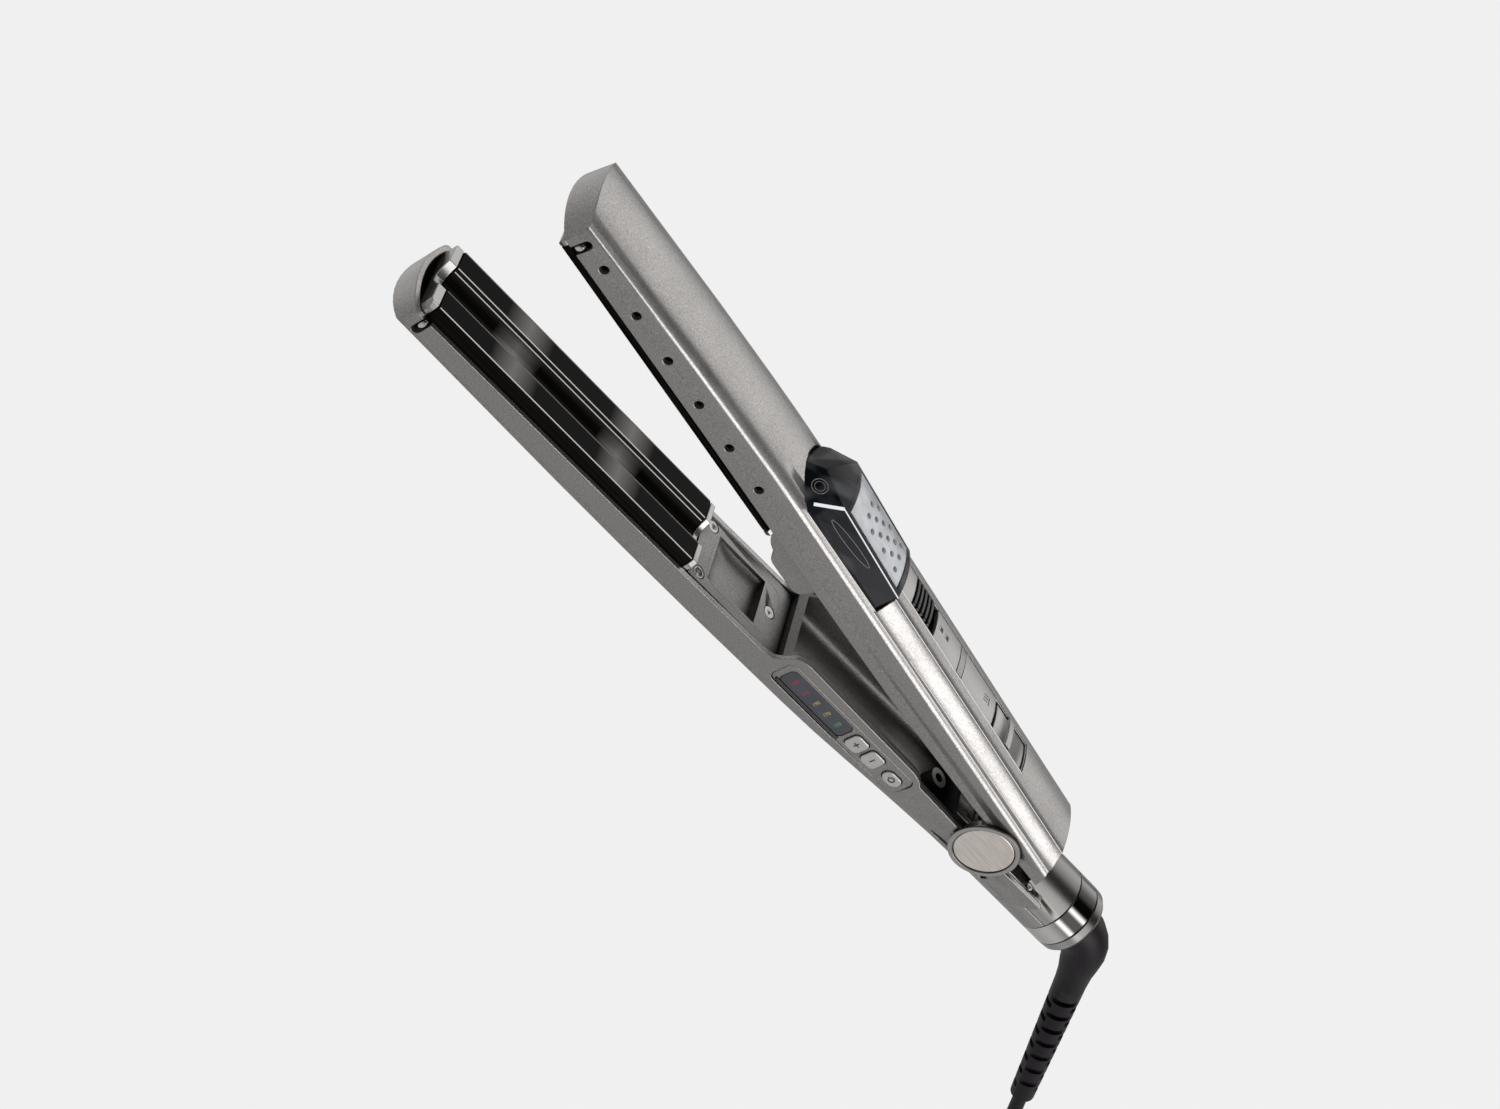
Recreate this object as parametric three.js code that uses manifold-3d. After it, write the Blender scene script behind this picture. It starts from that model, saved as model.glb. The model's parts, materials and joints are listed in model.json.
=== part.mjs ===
// Steam hair crimper: two hinged arms with waved heating plates, a water tank and a swivel cord.
// Frame: origin on the hinge axis at the outer face of the far hinge disc, +X towards the cord,
// +Y to the far side (the controls are on the near side), +Z from the lower arm up to the upper.
// Both arms are drawn closed; the upper arm's group is then turned open about the hinge axis.
import * as THREE from "three";
import { mergeVertices } from "three/addons/utils/BufferGeometryUtils.js";
import Module from "manifold-3d";

const wasm = await Module();
wasm.setup();

// ---- driving dimensions (mm, degrees) ----
const OPEN_ANGLE = 10.2;
const GAP = 0.3; // between neighbouring pieces
const WALL = 1.8;
const HALF_WIDTH = 15.8; // of both arms
const TIP_X = -259.2;
const TIP_RADIUS = 30; // the tip's arc, seen from above
const PLATE_FRONT = -251.1;
const PLATE_LENGTH = 110;
const PLATE_REAR = PLATE_FRONT + PLATE_LENGTH;
const PLATE_HALF = 13.6;
const RIDGE_TOP = -2.8; // top of the lower plate's ridges
const PLATE_BASE = -8.6;
const UPPER_PLATE_TOP = 1.2;
const HINGE_RING_R = 11.7;
const HINGE_DISC_R = 9.7;
const EAR_R = 9.4;
const PIN_R = 3;
const COLLAR_R = 12.94;
const COLLAR_Z = -7.5; // the cord swivels about the line through here along X
const SLEEVE_END = 41.4;
const CHROME_END = 50.3;
const COLLAR_END = 55.6;
const ELBOW_X = 64.3;
const BOOT_PITCH = 50.9; // how far the boot points down from the arm's axis
const BOOT_END = 102; // measured along the boot from the swivel's face
const CORD_END = 118;
const BEND_RADIUS = 16; // of the cord's elbow
const TANK_FRONT = -152.4;
const TANK_REAR = -102;
const TANK_BASE = 15.4;
const TAIL_TOP_X = 13.4;
const HUMP_TOP = 20.6; // shoulder of the raised rear part of the upper arm
const HUMP_HALF = 10.5;
const CROWN_TOP = 22.2;

const RING_IN = HALF_WIDTH + GAP; // hinge rings and discs start here, either side of the middle
const DISC_FACE = RING_IN + 0.7;
const INNER = HALF_WIDTH - WALL;
const FIT = INNER - GAP; // half width of what lies inside a shell

// ---- helpers ----
const toSolid = (geometry) => {
  const bare = geometry.clone();
  bare.deleteAttribute("normal");
  bare.deleteAttribute("uv");
  const merged = mergeVertices(bare, 1e-4);
  return new wasm.Manifold(
    new wasm.Mesh({
      numProp: 3,
      vertProperties: merged.attributes.position.array,
      triVerts: new Uint32Array(merged.index.array),
    }),
  );
};

const toGeometry = (solid) => {
  const mesh = solid.getMesh();
  const geometry = new THREE.BufferGeometry();
  geometry.setAttribute("position", new THREE.BufferAttribute(mesh.vertProperties, 3));
  geometry.setIndex(new THREE.BufferAttribute(mesh.triVerts, 1));
  geometry.computeVertexNormals();
  return geometry;
};

const join = (first, ...rest) => rest.reduce((sum, next) => sum.add(next), first);
const cut = (first, ...rest) => rest.reduce((left, next) => left.subtract(next), first);

const shapeOf = (points) => new THREE.Shape(points.map(([a, b]) => new THREE.Vector2(a, b)));
const asShape = (outline) => (Array.isArray(outline) ? shapeOf(outline) : outline);
const extruded = (outline, depth, steps = 1) =>
  new THREE.ExtrudeGeometry(asShape(outline), {
    depth,
    steps,
    bevelEnabled: false,
    curveSegments: 5,
  });

// An outline in X and Z, drawn out along Y.
const prismY = (outline, y0, y1) =>
  toSolid(extruded(outline, y1 - y0).rotateX(Math.PI / 2).translate(0, y1, 0));

// An outline in X and Y, drawn out along Z.
const prismZ = (outline, z0, z1) => toSolid(extruded(outline, z1 - z0).translate(0, 0, z0));

// An outline in Y and Z, drawn out along X; warp moves each vertex afterwards.
const prismX = (outline, x0, x1, steps = 1, warp = null) => {
  const turn = new THREE.Matrix4().makeBasis(
    new THREE.Vector3(0, 1, 0),
    new THREE.Vector3(0, 0, 1),
    new THREE.Vector3(1, 0, 0),
  );
  const geometry = extruded(outline, x1 - x0, steps).applyMatrix4(turn).translate(x0, 0, 0);
  if (warp) {
    const position = geometry.attributes.position;
    const point = new THREE.Vector3();
    for (let i = 0; i < position.count; i++) {
      warp(point.fromBufferAttribute(position, i));
      position.setXYZ(i, point.x, point.y, point.z);
    }
  }
  return toSolid(geometry);
};

const box = (x0, x1, y0, y1, z0, z1) =>
  toSolid(
    new THREE.BoxGeometry(x1 - x0, y1 - y0, z1 - z0).translate(
      (x0 + x1) / 2,
      (y0 + y1) / 2,
      (z0 + z1) / 2,
    ),
  );

const rodY = (radius, x, z, y0, y1, sides = 32) =>
  toSolid(new THREE.CylinderGeometry(radius, radius, y1 - y0, sides).translate(x, (y0 + y1) / 2, z));

const rodX = (radius, y, z, x0, x1, sides = 40) =>
  toSolid(
    new THREE.CylinderGeometry(radius, radius, x1 - x0, sides)
      .rotateZ(-Math.PI / 2)
      .translate((x0 + x1) / 2, y, z),
  );

const rodZ = (radius, x, y, z0, z1, sides = 24) =>
  toSolid(
    new THREE.CylinderGeometry(radius, radius, z1 - z0, sides)
      .rotateX(Math.PI / 2)
      .translate(x, y, (z0 + z1) / 2),
  );

// A rectangle with rounded corners, centred on (a, b).
const roundRect = (a, b, width, height, radius) => {
  const shape = new THREE.Shape();
  const [left, right] = [a - width / 2, a + width / 2];
  const [low, high] = [b - height / 2, b + height / 2];
  shape.moveTo(left + radius, low);
  shape.lineTo(right - radius, low);
  shape.absarc(right - radius, low + radius, radius, -Math.PI / 2, 0);
  shape.lineTo(right, high - radius);
  shape.absarc(right - radius, high - radius, radius, 0, Math.PI / 2);
  shape.lineTo(left + radius, high);
  shape.absarc(left + radius, high - radius, radius, Math.PI / 2, Math.PI);
  shape.lineTo(left, low + radius);
  shape.absarc(left + radius, low + radius, radius, Math.PI, Math.PI * 1.5);
  return shape;
};

// A profile of [distance along X, radius] turned about the X axis. One that starts on the axis is
// left open there; any other is closed into a ring.
const turned = (profile, segments) => {
  const points = profile.map(([x, r]) => new THREE.Vector2(r, x));
  if (profile[0][1] > 0) points.push(points[0].clone());
  if (THREE.ShapeUtils.area(points) < 0) points.reverse();
  return new THREE.LatheGeometry(points, segments).rotateZ(-Math.PI / 2);
};
const turnedX = (profile, segments = 40) =>
  toSolid(turned(profile, segments).translate(0, 0, COLLAR_Z));

const smooth = (value, from, to) => THREE.MathUtils.smoothstep(value, from, to);

// Everything is drawn about the tool's middle plane, then moved so that the far disc's face is Y 0.
const root = new THREE.Group();
root.position.y = -DISC_FACE;
const upperArm = new THREE.Group();
upperArm.rotation.y = THREE.MathUtils.degToRad(OPEN_ANGLE);
root.add(upperArm);

const materials = {
  paint: { color: 0x8b8783, roughness: 0.42, metalness: 0.75 },
  satin: { color: 0xb9b4b0, roughness: 0.3, metalness: 0.9 },
  chrome: { color: 0xc9c4c0, roughness: 0.1, metalness: 1 },
  brushed: { color: 0xb8aca2, roughness: 0.35, metalness: 0.9 },
  coating: { color: 0x14110f, roughness: 0.2, metalness: 0.3 },
  clip: { color: 0xb5b2b0, roughness: 0.25, metalness: 0.8 },
  ceramic: { color: 0xe8e4da, roughness: 0.6, metalness: 0 },
  heatproof: { color: 0x1c1b1c, roughness: 0.6, metalness: 0 },
  smoke: { color: 0x1f222c, roughness: 0.08, metalness: 0 },
  window: { color: 0x9aa0a8, roughness: 0.15, metalness: 0 },
  display: { color: 0x474857, roughness: 0.15, metalness: 0 },
  key: { color: 0xbdb8b4, roughness: 0.4, metalness: 0.4 },
  board: { color: 0x1f5a36, roughness: 0.5, metalness: 0 },
  steel: { color: 0x8f9092, roughness: 0.35, metalness: 1 },
  brass: { color: 0xb8923f, roughness: 0.3, metalness: 1 },
  black: { color: 0x1b191b, roughness: 0.5, metalness: 0 },
  rubber: { color: 0x2a262b, roughness: 0.6, metalness: 0 },
  lamp: { color: 0x8a7f80, roughness: 0.2, metalness: 0 },
};

const place = (group, name, finish, solid) => {
  const material = new THREE.MeshStandardMaterial(materials[finish]);
  const mesh = new THREE.Mesh(toGeometry(solid), material);
  mesh.name = name;
  group.add(mesh);
};

// ---- shapes that both arms share ----

// A Y-Z outline drawn for the far half only and mirrored to the near side.
const mirrored = (draw) => {
  const path = new THREE.Path();
  draw(path);
  const half = path.getPoints(5);
  const other = half.filter((p) => p.x > 1e-6).map((p) => new THREE.Vector2(-p.x, p.y));
  return new THREE.Shape([...half, ...other.reverse()]);
};

// The arm seen from above: straight sides, soft corners and a shallow round tip.
const planOutline = (inset) => {
  const radius = TIP_RADIUS - inset;
  const half = HALF_WIDTH + 0.7 - inset;
  const centre = TIP_X + TIP_RADIUS;
  const corner = Math.asin((half - 2.4) / radius);
  const [x, y] = [centre - radius * Math.cos(corner), half - 2.4];
  const shape = new THREE.Shape();
  shape.moveTo(60, half);
  shape.lineTo(x + 4, half);
  shape.quadraticCurveTo(x + 1, half - 0.2, x, y);
  shape.absarc(centre, 0, radius, Math.PI - corner, Math.PI + corner);
  shape.quadraticCurveTo(x + 1, 0.2 - half, x + 4, -half);
  shape.lineTo(60, -half);
  return shape;
};

// ---- lower arm ----
const LOWER_RIM = [
  [-266, -7.7],
  [-142, -7],
  [-103, -6.3],
  [-99, -5.4],
  [-97, -3],
  [-95.5, 0.2],
  [-93.5, 1.9],
  [-90.6, 2.4],
  [-38, 1.6],
  [-34.5, 0.7],
  [-32, -0.9],
  [-10, -1.6],
  [31, -1.1],
  [50, -1.1],
];

const shiftLine = (line, dz) => line.map(([x, z]) => [x, z + dz]);
const above = (line) => [[-270, 40], ...line, [60, line.at(-1)[1]], [60, 40]];
const below = (line) => [[-270, -40], ...line, [60, line.at(-1)[1]], [60, -40]];

// The lower arm's belly rises a little towards both ends and turns round towards the collar.
const warpLower = (radius) => (p) => {
  const rise = 0.00015 * (p.x + 148) ** 2;
  if (p.z < -9) p.z += Math.min(rise, 1.6);
  const share = smooth(p.x, -80, 28) * smooth(-p.z, 8, 14);
  const angle = Math.atan2(p.z - COLLAR_Z, p.y);
  p.y += share * (radius * Math.cos(angle) - p.y);
  p.z += share * (COLLAR_Z + radius * Math.sin(angle) - p.z);
};

const lowerSection = (inset) =>
  mirrored((path) => {
    const half = HALF_WIDTH - inset;
    path.moveTo(half, 30);
    path.lineTo(half, -4);
    path.lineTo(half, inset - 14.2);
    path.quadraticCurveTo(half, inset - 16.6, half - 1.8, inset - 17.3);
    path.quadraticCurveTo(half / 2, inset - 19.4, 0, inset - 19.4);
  });
const lowerBody = (inset, x1) =>
  prismX(lowerSection(inset), TIP_X - 1, x1, 20, warpLower(COLLAR_R - inset)).intersect(
    prismZ(planOutline(inset), -60, 60),
  );

const PANEL = { x0: -94.5, x1: -33.8, z: -6.4, height: 10.4 };
const panelOutline = (inset) =>
  roundRect(
    (PANEL.x0 + PANEL.x1) / 2,
    PANEL.z,
    PANEL.x1 - PANEL.x0 - 2 * inset,
    PANEL.height - 2 * inset,
    2.6 - inset,
  );

// The painted shell ends on a slant over the collar sleeve.
const SHELL_END = [
  [19.5, -25],
  [26.5, -11],
  [32.4, 0.7],
  [34, 40],
  [90, 40],
  [90, -25],
];
const TIP_FLOOR = { x: -255.6, z: -11.4 };
const NOTCH = { x: -250.2, r: 1.5, depth: 4.4 };
const notch = (z, up) =>
  join(
    rodY(NOTCH.r, NOTCH.x, z, -40, 40, 16),
    box(NOTCH.x - NOTCH.r, NOTCH.x + NOTCH.r, -40, 40, up ? z : z - 20, up ? z + 20 : z),
  );
const lowerShell = () => {
  const ears = rodY(EAR_R, 0, 0, -HALF_WIDTH, HALF_WIDTH, 48);
  const inside = lowerBody(WALL, 40)
    .intersect(box(-300, 40, -INNER, INNER, -40, 40))
    .subtract(box(-300, TIP_FLOOR.x, -20, 20, -40, TIP_FLOOR.z));
  return cut(
    join(cut(lowerBody(0, 36), prismY(above(LOWER_RIM), -40, 40)), ears),
    inside,
    box(-EAR_R - 4, EAR_R + 4, -INNER, INNER, -12, 20),
    prismY(SHELL_END, -40, 40),
    prismY(panelOutline(0), -HALF_WIDTH - 1, -INNER + 2),
    notch(-8 - NOTCH.depth, true),
    rodY(PIN_R + GAP, 0, 0, -30, 30),
  );
};
place(root, "lower_shell", "paint", lowerShell());

// Waved plate profile from one side to the other: flat ridges and a faceted valley.
const WAVE = [
  [12.8, 0],
  [5.4, 0],
  [4.6, -1.2],
  [3.5, -2.6],
  [1.3, -4],
];
const waveAcross = (points) => [
  ...points,
  ...[...points].reverse().map(([y, z]) => [-y, z]),
];

const lowerPlateOutline = [
  [PLATE_HALF, PLATE_BASE],
  [PLATE_HALF, RIDGE_TOP - 2],
  ...waveAcross(WAVE.map(([y, z]) => [y, z + RIDGE_TOP])),
  [-PLATE_HALF, RIDGE_TOP - 2],
  [-PLATE_HALF, PLATE_BASE],
];
place(root, "lower_plate", "coating", prismX(lowerPlateOutline, PLATE_FRONT, PLATE_REAR));

const CLIP_LONG = 3; // the tip-end clip, before its rounded front is cut
const CLIP_SHORT = 1.8;
const clip = (outline, x0, x1) =>
  prismX(outline, x0, x1).intersect(prismZ(planOutline(WALL + GAP), -60, 60));
place(
  root,
  "lower_front_clip",
  "clip",
  clip(lowerPlateOutline, PLATE_FRONT - GAP - CLIP_LONG, PLATE_FRONT - GAP),
);
place(
  root,
  "lower_rear_clip",
  "clip",
  prismX(lowerPlateOutline, PLATE_REAR + GAP, PLATE_REAR + GAP + CLIP_SHORT),
);

const HEATER = { front: PLATE_FRONT + 8, rear: PLATE_REAR - 8, half: 6 };
const trayTop = PLATE_BASE - GAP;
place(
  root,
  "lower_heater",
  "ceramic",
  box(HEATER.front, HEATER.rear, -HEATER.half, HEATER.half, trayTop - 2.2, trayTop),
);
place(
  root,
  "lower_heater_tray",
  "heatproof",
  cut(
    box(PLATE_FRONT - 1, PLATE_REAR + 1, -12.6, 12.6, trayTop - 4, trayTop),
    box(
      HEATER.front - GAP,
      HEATER.rear + GAP,
      -HEATER.half - GAP,
      HEATER.half + GAP,
      trayTop - 2.2 - GAP,
      trayTop + 1,
    ),
  ),
);

// Pocket cover between the plate and the handle, with the pocket that takes the upper arm's block.
const COVER = { x0: PLATE_REAR + 2.6, x1: -97.6, top: -6.6, thick: 1.6 };
const POCKET = { x0: -131, x1: -109.4, half: 9.2 };
const SCREWS = [
  ["near", -134.6, -10.2],
  ["far", -134.6, 10.2],
  ["rear", -104.6, 0],
];
const SCREW_HEAD_R = 2.1;
const pocketCover = () => {
  const pocket = [
    [POCKET.x0, COVER.top + 1],
    [POCKET.x0, COVER.top - 2.6],
    [POCKET.x1 - 2, COVER.top - 6],
    [POCKET.x1, COVER.top - 3],
    [POCKET.x1, COVER.top + 1],
  ];
  const tub = [
    [POCKET.x0 - 1.4, COVER.top - 0.5],
    [POCKET.x0 - 1.4, COVER.top - 4],
    [POCKET.x1 - 1.6, COVER.top - 7.5],
    [POCKET.x1 + 1.4, COVER.top - 4],
    [POCKET.x1 + 1.4, COVER.top - 0.5],
  ];
  const bosses = SCREWS.map(([, x, y]) =>
    rodZ(SCREW_HEAD_R + 1.2, x, y, COVER.top - 4.5, COVER.top - 0.5),
  );
  const holes = SCREWS.flatMap(([, x, y]) => [
    rodZ(SCREW_HEAD_R + GAP, x, y, COVER.top - 1.6, COVER.top + 1),
    rodZ(1.5, x, y, COVER.top - 9, COVER.top + 1),
  ]);
  return cut(
    join(
      box(COVER.x0, COVER.x1, -FIT, FIT, COVER.top - COVER.thick, COVER.top),
      prismY(tub, -POCKET.half - 1.4, POCKET.half + 1.4),
      ...bosses,
    ),
    prismY(pocket, -POCKET.half, POCKET.half),
    ...holes,
  );
};
place(root, "pocket_cover", "paint", pocketCover());

const driveRecess = (x, y, top, depth) => rodZ(1, x, y, top - depth, top + 1, 3);
for (const [where, x, y] of SCREWS) {
  place(
    root,
    `cover_screw_${where}`,
    "steel",
    cut(
      join(
        rodZ(SCREW_HEAD_R, x, y, COVER.top - 1.3, COVER.top - 0.1, 20),
        rodZ(1.2, x, y, COVER.top - 7, COVER.top - 1.2, 12),
      ),
      driveRecess(x, y, COVER.top - 0.1, 0.8),
    ),
  );
}

// Trough inside the lower handle.
const LINER = { x0: -97.2, x1: -13.2, floor: -11.5, thick: 1.4 };
const linerOutline = (inset) => {
  const half = FIT - inset;
  const floor = LINER.floor + inset;
  const shape = new THREE.Shape();
  shape.moveTo(-half, 10);
  shape.lineTo(-half, -5);
  shape.quadraticCurveTo(-half, floor, -half + 7, floor);
  shape.lineTo(half - 7, floor);
  shape.quadraticCurveTo(half, floor, half, -5);
  shape.lineTo(half, 10);
  return shape;
};
const channelLiner = () => {
  const trough = cut(
    prismX(linerOutline(0), LINER.x0, LINER.x1).intersect(lowerBody(WALL + GAP, 40)),
    prismX(linerOutline(LINER.thick), LINER.x0 + LINER.thick, LINER.x1 - LINER.thick),
    prismY(above(shiftLine(LOWER_RIM, -0.5)), -40, 40),
    prismY(panelOutline(-1.5), -30, -FIT + LINER.thick + 4),
  );
  const boss = cut(
    rodZ(3.4, -21, 0, LINER.floor + 0.5, -5.2, 28),
    rodZ(1.6, -21, 0, -9, 0, 16),
  );
  return join(trough, boss);
};
place(root, "channel_liner", "paint", channelLiner());

// Controls on the near side: panel, display, three keys.
const DISPLAY = { x: -77, z: -6.6, width: 29, height: 6.8 };
const KEYS = [
  { name: "plus_button", x: -57.2, z: -6.4, width: 6.4, height: 6.4, radius: 1.6 },
  { name: "minus_button", x: -49.3, z: -6.4, width: 6.4, height: 6.4, radius: 1.6 },
  { name: "power_button", x: -39.6, z: -6.5, width: 7, height: 4.6, radius: 2.2 },
];
const keyOutline = (key, grow) =>
  roundRect(key.x, key.z, key.width + 2 * grow, key.height + 2 * grow, key.radius + grow);
const displayOutline = (grow) =>
  roundRect(DISPLAY.x, DISPLAY.z, DISPLAY.width + 2 * grow, DISPLAY.height + 2 * grow, 1.8 + grow);

const PANEL_FACE = -HALF_WIDTH + 0.3;
place(
  root,
  "control_panel",
  "paint",
  cut(
    prismY(panelOutline(GAP), PANEL_FACE, PANEL_FACE + 1.5),
    prismY(displayOutline(GAP), -30, 0),
    ...KEYS.map((key) => prismY(keyOutline(key, GAP), -30, 0)),
  ),
);
place(root, "display_window", "display", prismY(displayOutline(0), PANEL_FACE + 0.1, PANEL_FACE + 1.3));
for (const key of KEYS) {
  place(root, key.name, "key", prismY(keyOutline(key, 0), PANEL_FACE - 0.6, PANEL_FACE + 1.6));
}
place(root, "display_board", "board", box(-93, -34.5, -12.2, -11, -11, -2));

place(root, "control_board", "board", box(-92, -24, -8.5, 8.5, -14.4, -13));

// ---- hinge ----
place(root, "hinge_pin", "steel", rodY(PIN_R, 0, 0, -HALF_WIDTH + 0.1, HALF_WIDTH - 0.1, 32));

const RING_SIDES = 56;
const hingeRing = (side) => {
  const [y0, y1] = side < 0 ? [-RING_IN - 1, -RING_IN] : [RING_IN, RING_IN + 1];
  return cut(
    rodY(HINGE_RING_R, 0, 0, y0, y1, RING_SIDES),
    rodY(HINGE_DISC_R + GAP, 0, 0, y0 - 1, y1 + 1, RING_SIDES),
  );
};
const hingeDisc = (side) => {
  const [y0, y1] = side < 0 ? [-DISC_FACE, -RING_IN] : [RING_IN, DISC_FACE];
  return rodY(HINGE_DISC_R, 0, 0, y0, y1, RING_SIDES);
};
for (const [where, side] of [["near", -1], ["far", 1]]) {
  place(root, `${where}_hinge_ring`, "satin", hingeRing(side));
  place(root, `${where}_hinge_disc`, "brushed", hingeDisc(side));
}

// Torsion spring round the pin: its lower leg lies in the lower arm, its upper leg bears on the
// upper arm's cover.
const SPRING = { coil: 4.9, wire: 0.7, turns: 5, half: 5.6, leg: 12.4 };
const hingeSpring = () => {
  const points = [];
  const start = -Math.PI / 2;
  points.push(new THREE.Vector3(-SPRING.leg, -SPRING.half, -SPRING.coil));
  points.push(new THREE.Vector3(-SPRING.leg / 2, -SPRING.half, -SPRING.coil));
  const perTurn = 12;
  const count = SPRING.turns * perTurn + perTurn / 2;
  for (let i = 0; i <= count; i++) {
    const angle = start + (i / perTurn) * Math.PI * 2;
    points.push(
      new THREE.Vector3(
        SPRING.coil * Math.cos(angle),
        -SPRING.half + (i / count) * 2 * SPRING.half,
        SPRING.coil * Math.sin(angle),
      ),
    );
  }
  points.push(new THREE.Vector3(-SPRING.leg / 2, SPRING.half, SPRING.coil));
  points.push(new THREE.Vector3(-SPRING.leg, SPRING.half, SPRING.coil));
  const wire = new THREE.Shape();
  wire.absarc(0, 0, SPRING.wire, 0, Math.PI * 2);
  const geometry = new THREE.ExtrudeGeometry(wire, {
    steps: 120,
    curveSegments: 3,
    bevelEnabled: false,
    extrudePath: new THREE.CatmullRomCurve3(points, false, "catmullrom", 0.4),
  });
  return toSolid(geometry);
};
place(root, "hinge_spring", "steel", hingeSpring());

// ---- tail, collar and swivel ----
const DECK = { x0: 13.6, x1: 31, saddle: 23.2, top: -0.9, thick: 1.5 };
const TAIL_SCREW = { x: 24.2, y: -12.3, head: 1.3, shank: 0.8 };
const sleeveTube = () =>
  rodX(COLLAR_R, 0, COLLAR_Z, 12, SLEEVE_END).subtract(
    rodX(COLLAR_R - WALL, 0, COLLAR_Z, 0, 60),
  );
const sleeveUpper = () => {
  const underDeck = DECK.top - DECK.thick;
  const half = cut(
    sleeveTube(),
    box(0, 60, -40, 40, -60, COLLAR_Z + GAP),
    box(0, DECK.saddle, -40, 40, -60, 40),
    box(0, DECK.x1 + GAP, -40, 40, -60, underDeck),
  );
  const deck = box(DECK.x0, DECK.x1, -FIT, FIT, underDeck, DECK.top).subtract(
    rodX(COLLAR_R - WALL, 0, COLLAR_Z, DECK.saddle, 60),
  );
  const { x, y, head, shank } = TAIL_SCREW;
  return cut(
    join(half, deck),
    rodZ(head + GAP, x, y, DECK.top - 0.8, DECK.top + 4, 16),
    rodZ(shank + GAP, x, y, -10, 10, 12),
  );
};
place(root, "collar_sleeve_upper", "satin", sleeveUpper());
place(
  root,
  "collar_sleeve_lower",
  "satin",
  sleeveTube()
    .intersect(prismY(SHELL_END.map(([x, z]) => [x + GAP, z]), -40, 40))
    .intersect(box(0, 60, -40, 40, -40, COLLAR_Z)),
);
const tailScrew = () => {
  const { x, y, head, shank } = TAIL_SCREW;
  const top = DECK.top + 0.5;
  return cut(
    join(rodZ(head, x, y, DECK.top - 0.5, top, 16), rodZ(shank, x, y, -6.5, -1, 10)),
    rodZ(0.7, x, y, top - 0.6, top + 1, 3),
  );
};
place(root, "tail_screw", "steel", tailScrew());

place(
  root,
  "chrome_ring",
  "chrome",
  turnedX(
    [
      [SLEEVE_END + GAP, 9.4],
      [CHROME_END, 9.4],
      [CHROME_END, COLLAR_R],
      [SLEEVE_END + GAP, COLLAR_R],
    ],
    56,
  ),
);
place(
  root,
  "end_ring",
  "satin",
  turnedX(
    [
      [CHROME_END + GAP, 9.4],
      [COLLAR_END, 9.4],
      [COLLAR_END, COLLAR_R - 2.2],
      [COLLAR_END - 0.6, COLLAR_R - 1],
      [COLLAR_END - 1.8, COLLAR_R - 0.2],
      [CHROME_END + GAP, COLLAR_R],
    ],
    56,
  ),
);
place(
  root,
  "swivel_socket",
  "black",
  turnedX([
    [26, 7.6],
    [34, 7.6],
    [34, 6.3],
    [49, 6.3],
    [49, 9.1],
    [39, 9.1],
    [39, 10.8],
    [26, 10.8],
  ]),
);
for (const [where, x] of [["live", 27], ["neutral", 30.5]]) {
  place(
    root,
    `${where}_contact_ring`,
    "brass",
    turnedX([
      [x, 5.6],
      [x + 2, 5.6],
      [x + 2, 7.3],
      [x, 7.3],
    ]),
  );
}

place(
  root,
  "swivel_spigot",
  "black",
  turnedX([
    [24, 0],
    [24, 5.2],
    [33.4, 5.2],
    [33.4, 6],
    [49.6, 6],
    [49.6, 8.8],
    [52.6, 8.8],
    [52.6, 0],
  ]),
);

// Elbow and slotted strain relief: a turned shape bent round the elbow. Distances along it start
// at the swivel's face.
const BOOT_START = 52.9;
const bendAngle = THREE.MathUtils.degToRad(BOOT_PITCH);
const bendStart = ELBOW_X - BOOT_START - BEND_RADIUS * Math.tan(bendAngle / 2);
const bendLength = BEND_RADIUS * bendAngle;
const bent = (geometry) => {
  const position = geometry.attributes.position;
  const point = new THREE.Vector3();
  for (let i = 0; i < position.count; i++) {
    point.fromBufferAttribute(position, i);
    const along = THREE.MathUtils.clamp(point.x - bendStart, 0, bendLength);
    const angle = along / BEND_RADIUS;
    const rest = point.x - bendStart - along;
    const [c, s] = [Math.cos(angle), Math.sin(angle)];
    const x = bendStart + (BEND_RADIUS + point.z) * s + rest * c;
    const z = (BEND_RADIUS + point.z) * c - BEND_RADIUS - rest * s;
    position.setXYZ(i, BOOT_START + x, point.y, COLLAR_Z + z);
  }
  return toSolid(geometry);
};
const turnedBoot = (profile, segments = 24) => bent(turned(profile, segments));
const SLOT = { first: 42, pitch: 8.2, count: 7, wide: 2.6, across: 8.2, core: 3.4 };
const elbowBoot = () => {
  const boot = turnedBoot([
    [0, 0],
    [0, 8.9],
    [bendStart, 8.6],
    [bendStart + 4, 8.1],
    [bendStart + 8, 7.8],
    [bendStart + 11, 7.7],
    [bendStart + bendLength, 7.5],
    [24, 6.8],
    [29, 6],
    [35, 5.6],
    [BOOT_END, 4.4],
    [BOOT_END, 0],
  ]);
  const slots = [];
  for (let i = 0; i < SLOT.count; i++) {
    const x = SLOT.first + i * SLOT.pitch;
    for (const turn of [0, 1, 2, 3]) {
      const shift = turn % 2 ? 0 : SLOT.pitch / 2;
      slots.push(
        bent(
          new THREE.BoxGeometry(SLOT.wide, SLOT.across, 4)
            .translate(x + shift, 0, SLOT.core + 2)
            .rotateX((turn * Math.PI) / 2),
        ),
      );
    }
  }
  const bore = turnedBoot([
    [BOOT_END - 4, 0],
    [BOOT_END - 4, 2.9],
    [BOOT_END + 2, 2.9],
    [BOOT_END + 2, 0],
  ]);
  return cut(boot, ...slots, bore);
};
place(root, "elbow_boot", "rubber", elbowBoot());
place(
  root,
  "power_cord",
  "rubber",
  turnedBoot([
    [BOOT_END - 3.6, 0],
    [BOOT_END - 3.6, 2.6],
    [CORD_END, 2.6],
    [CORD_END, 0],
  ]),
);

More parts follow.
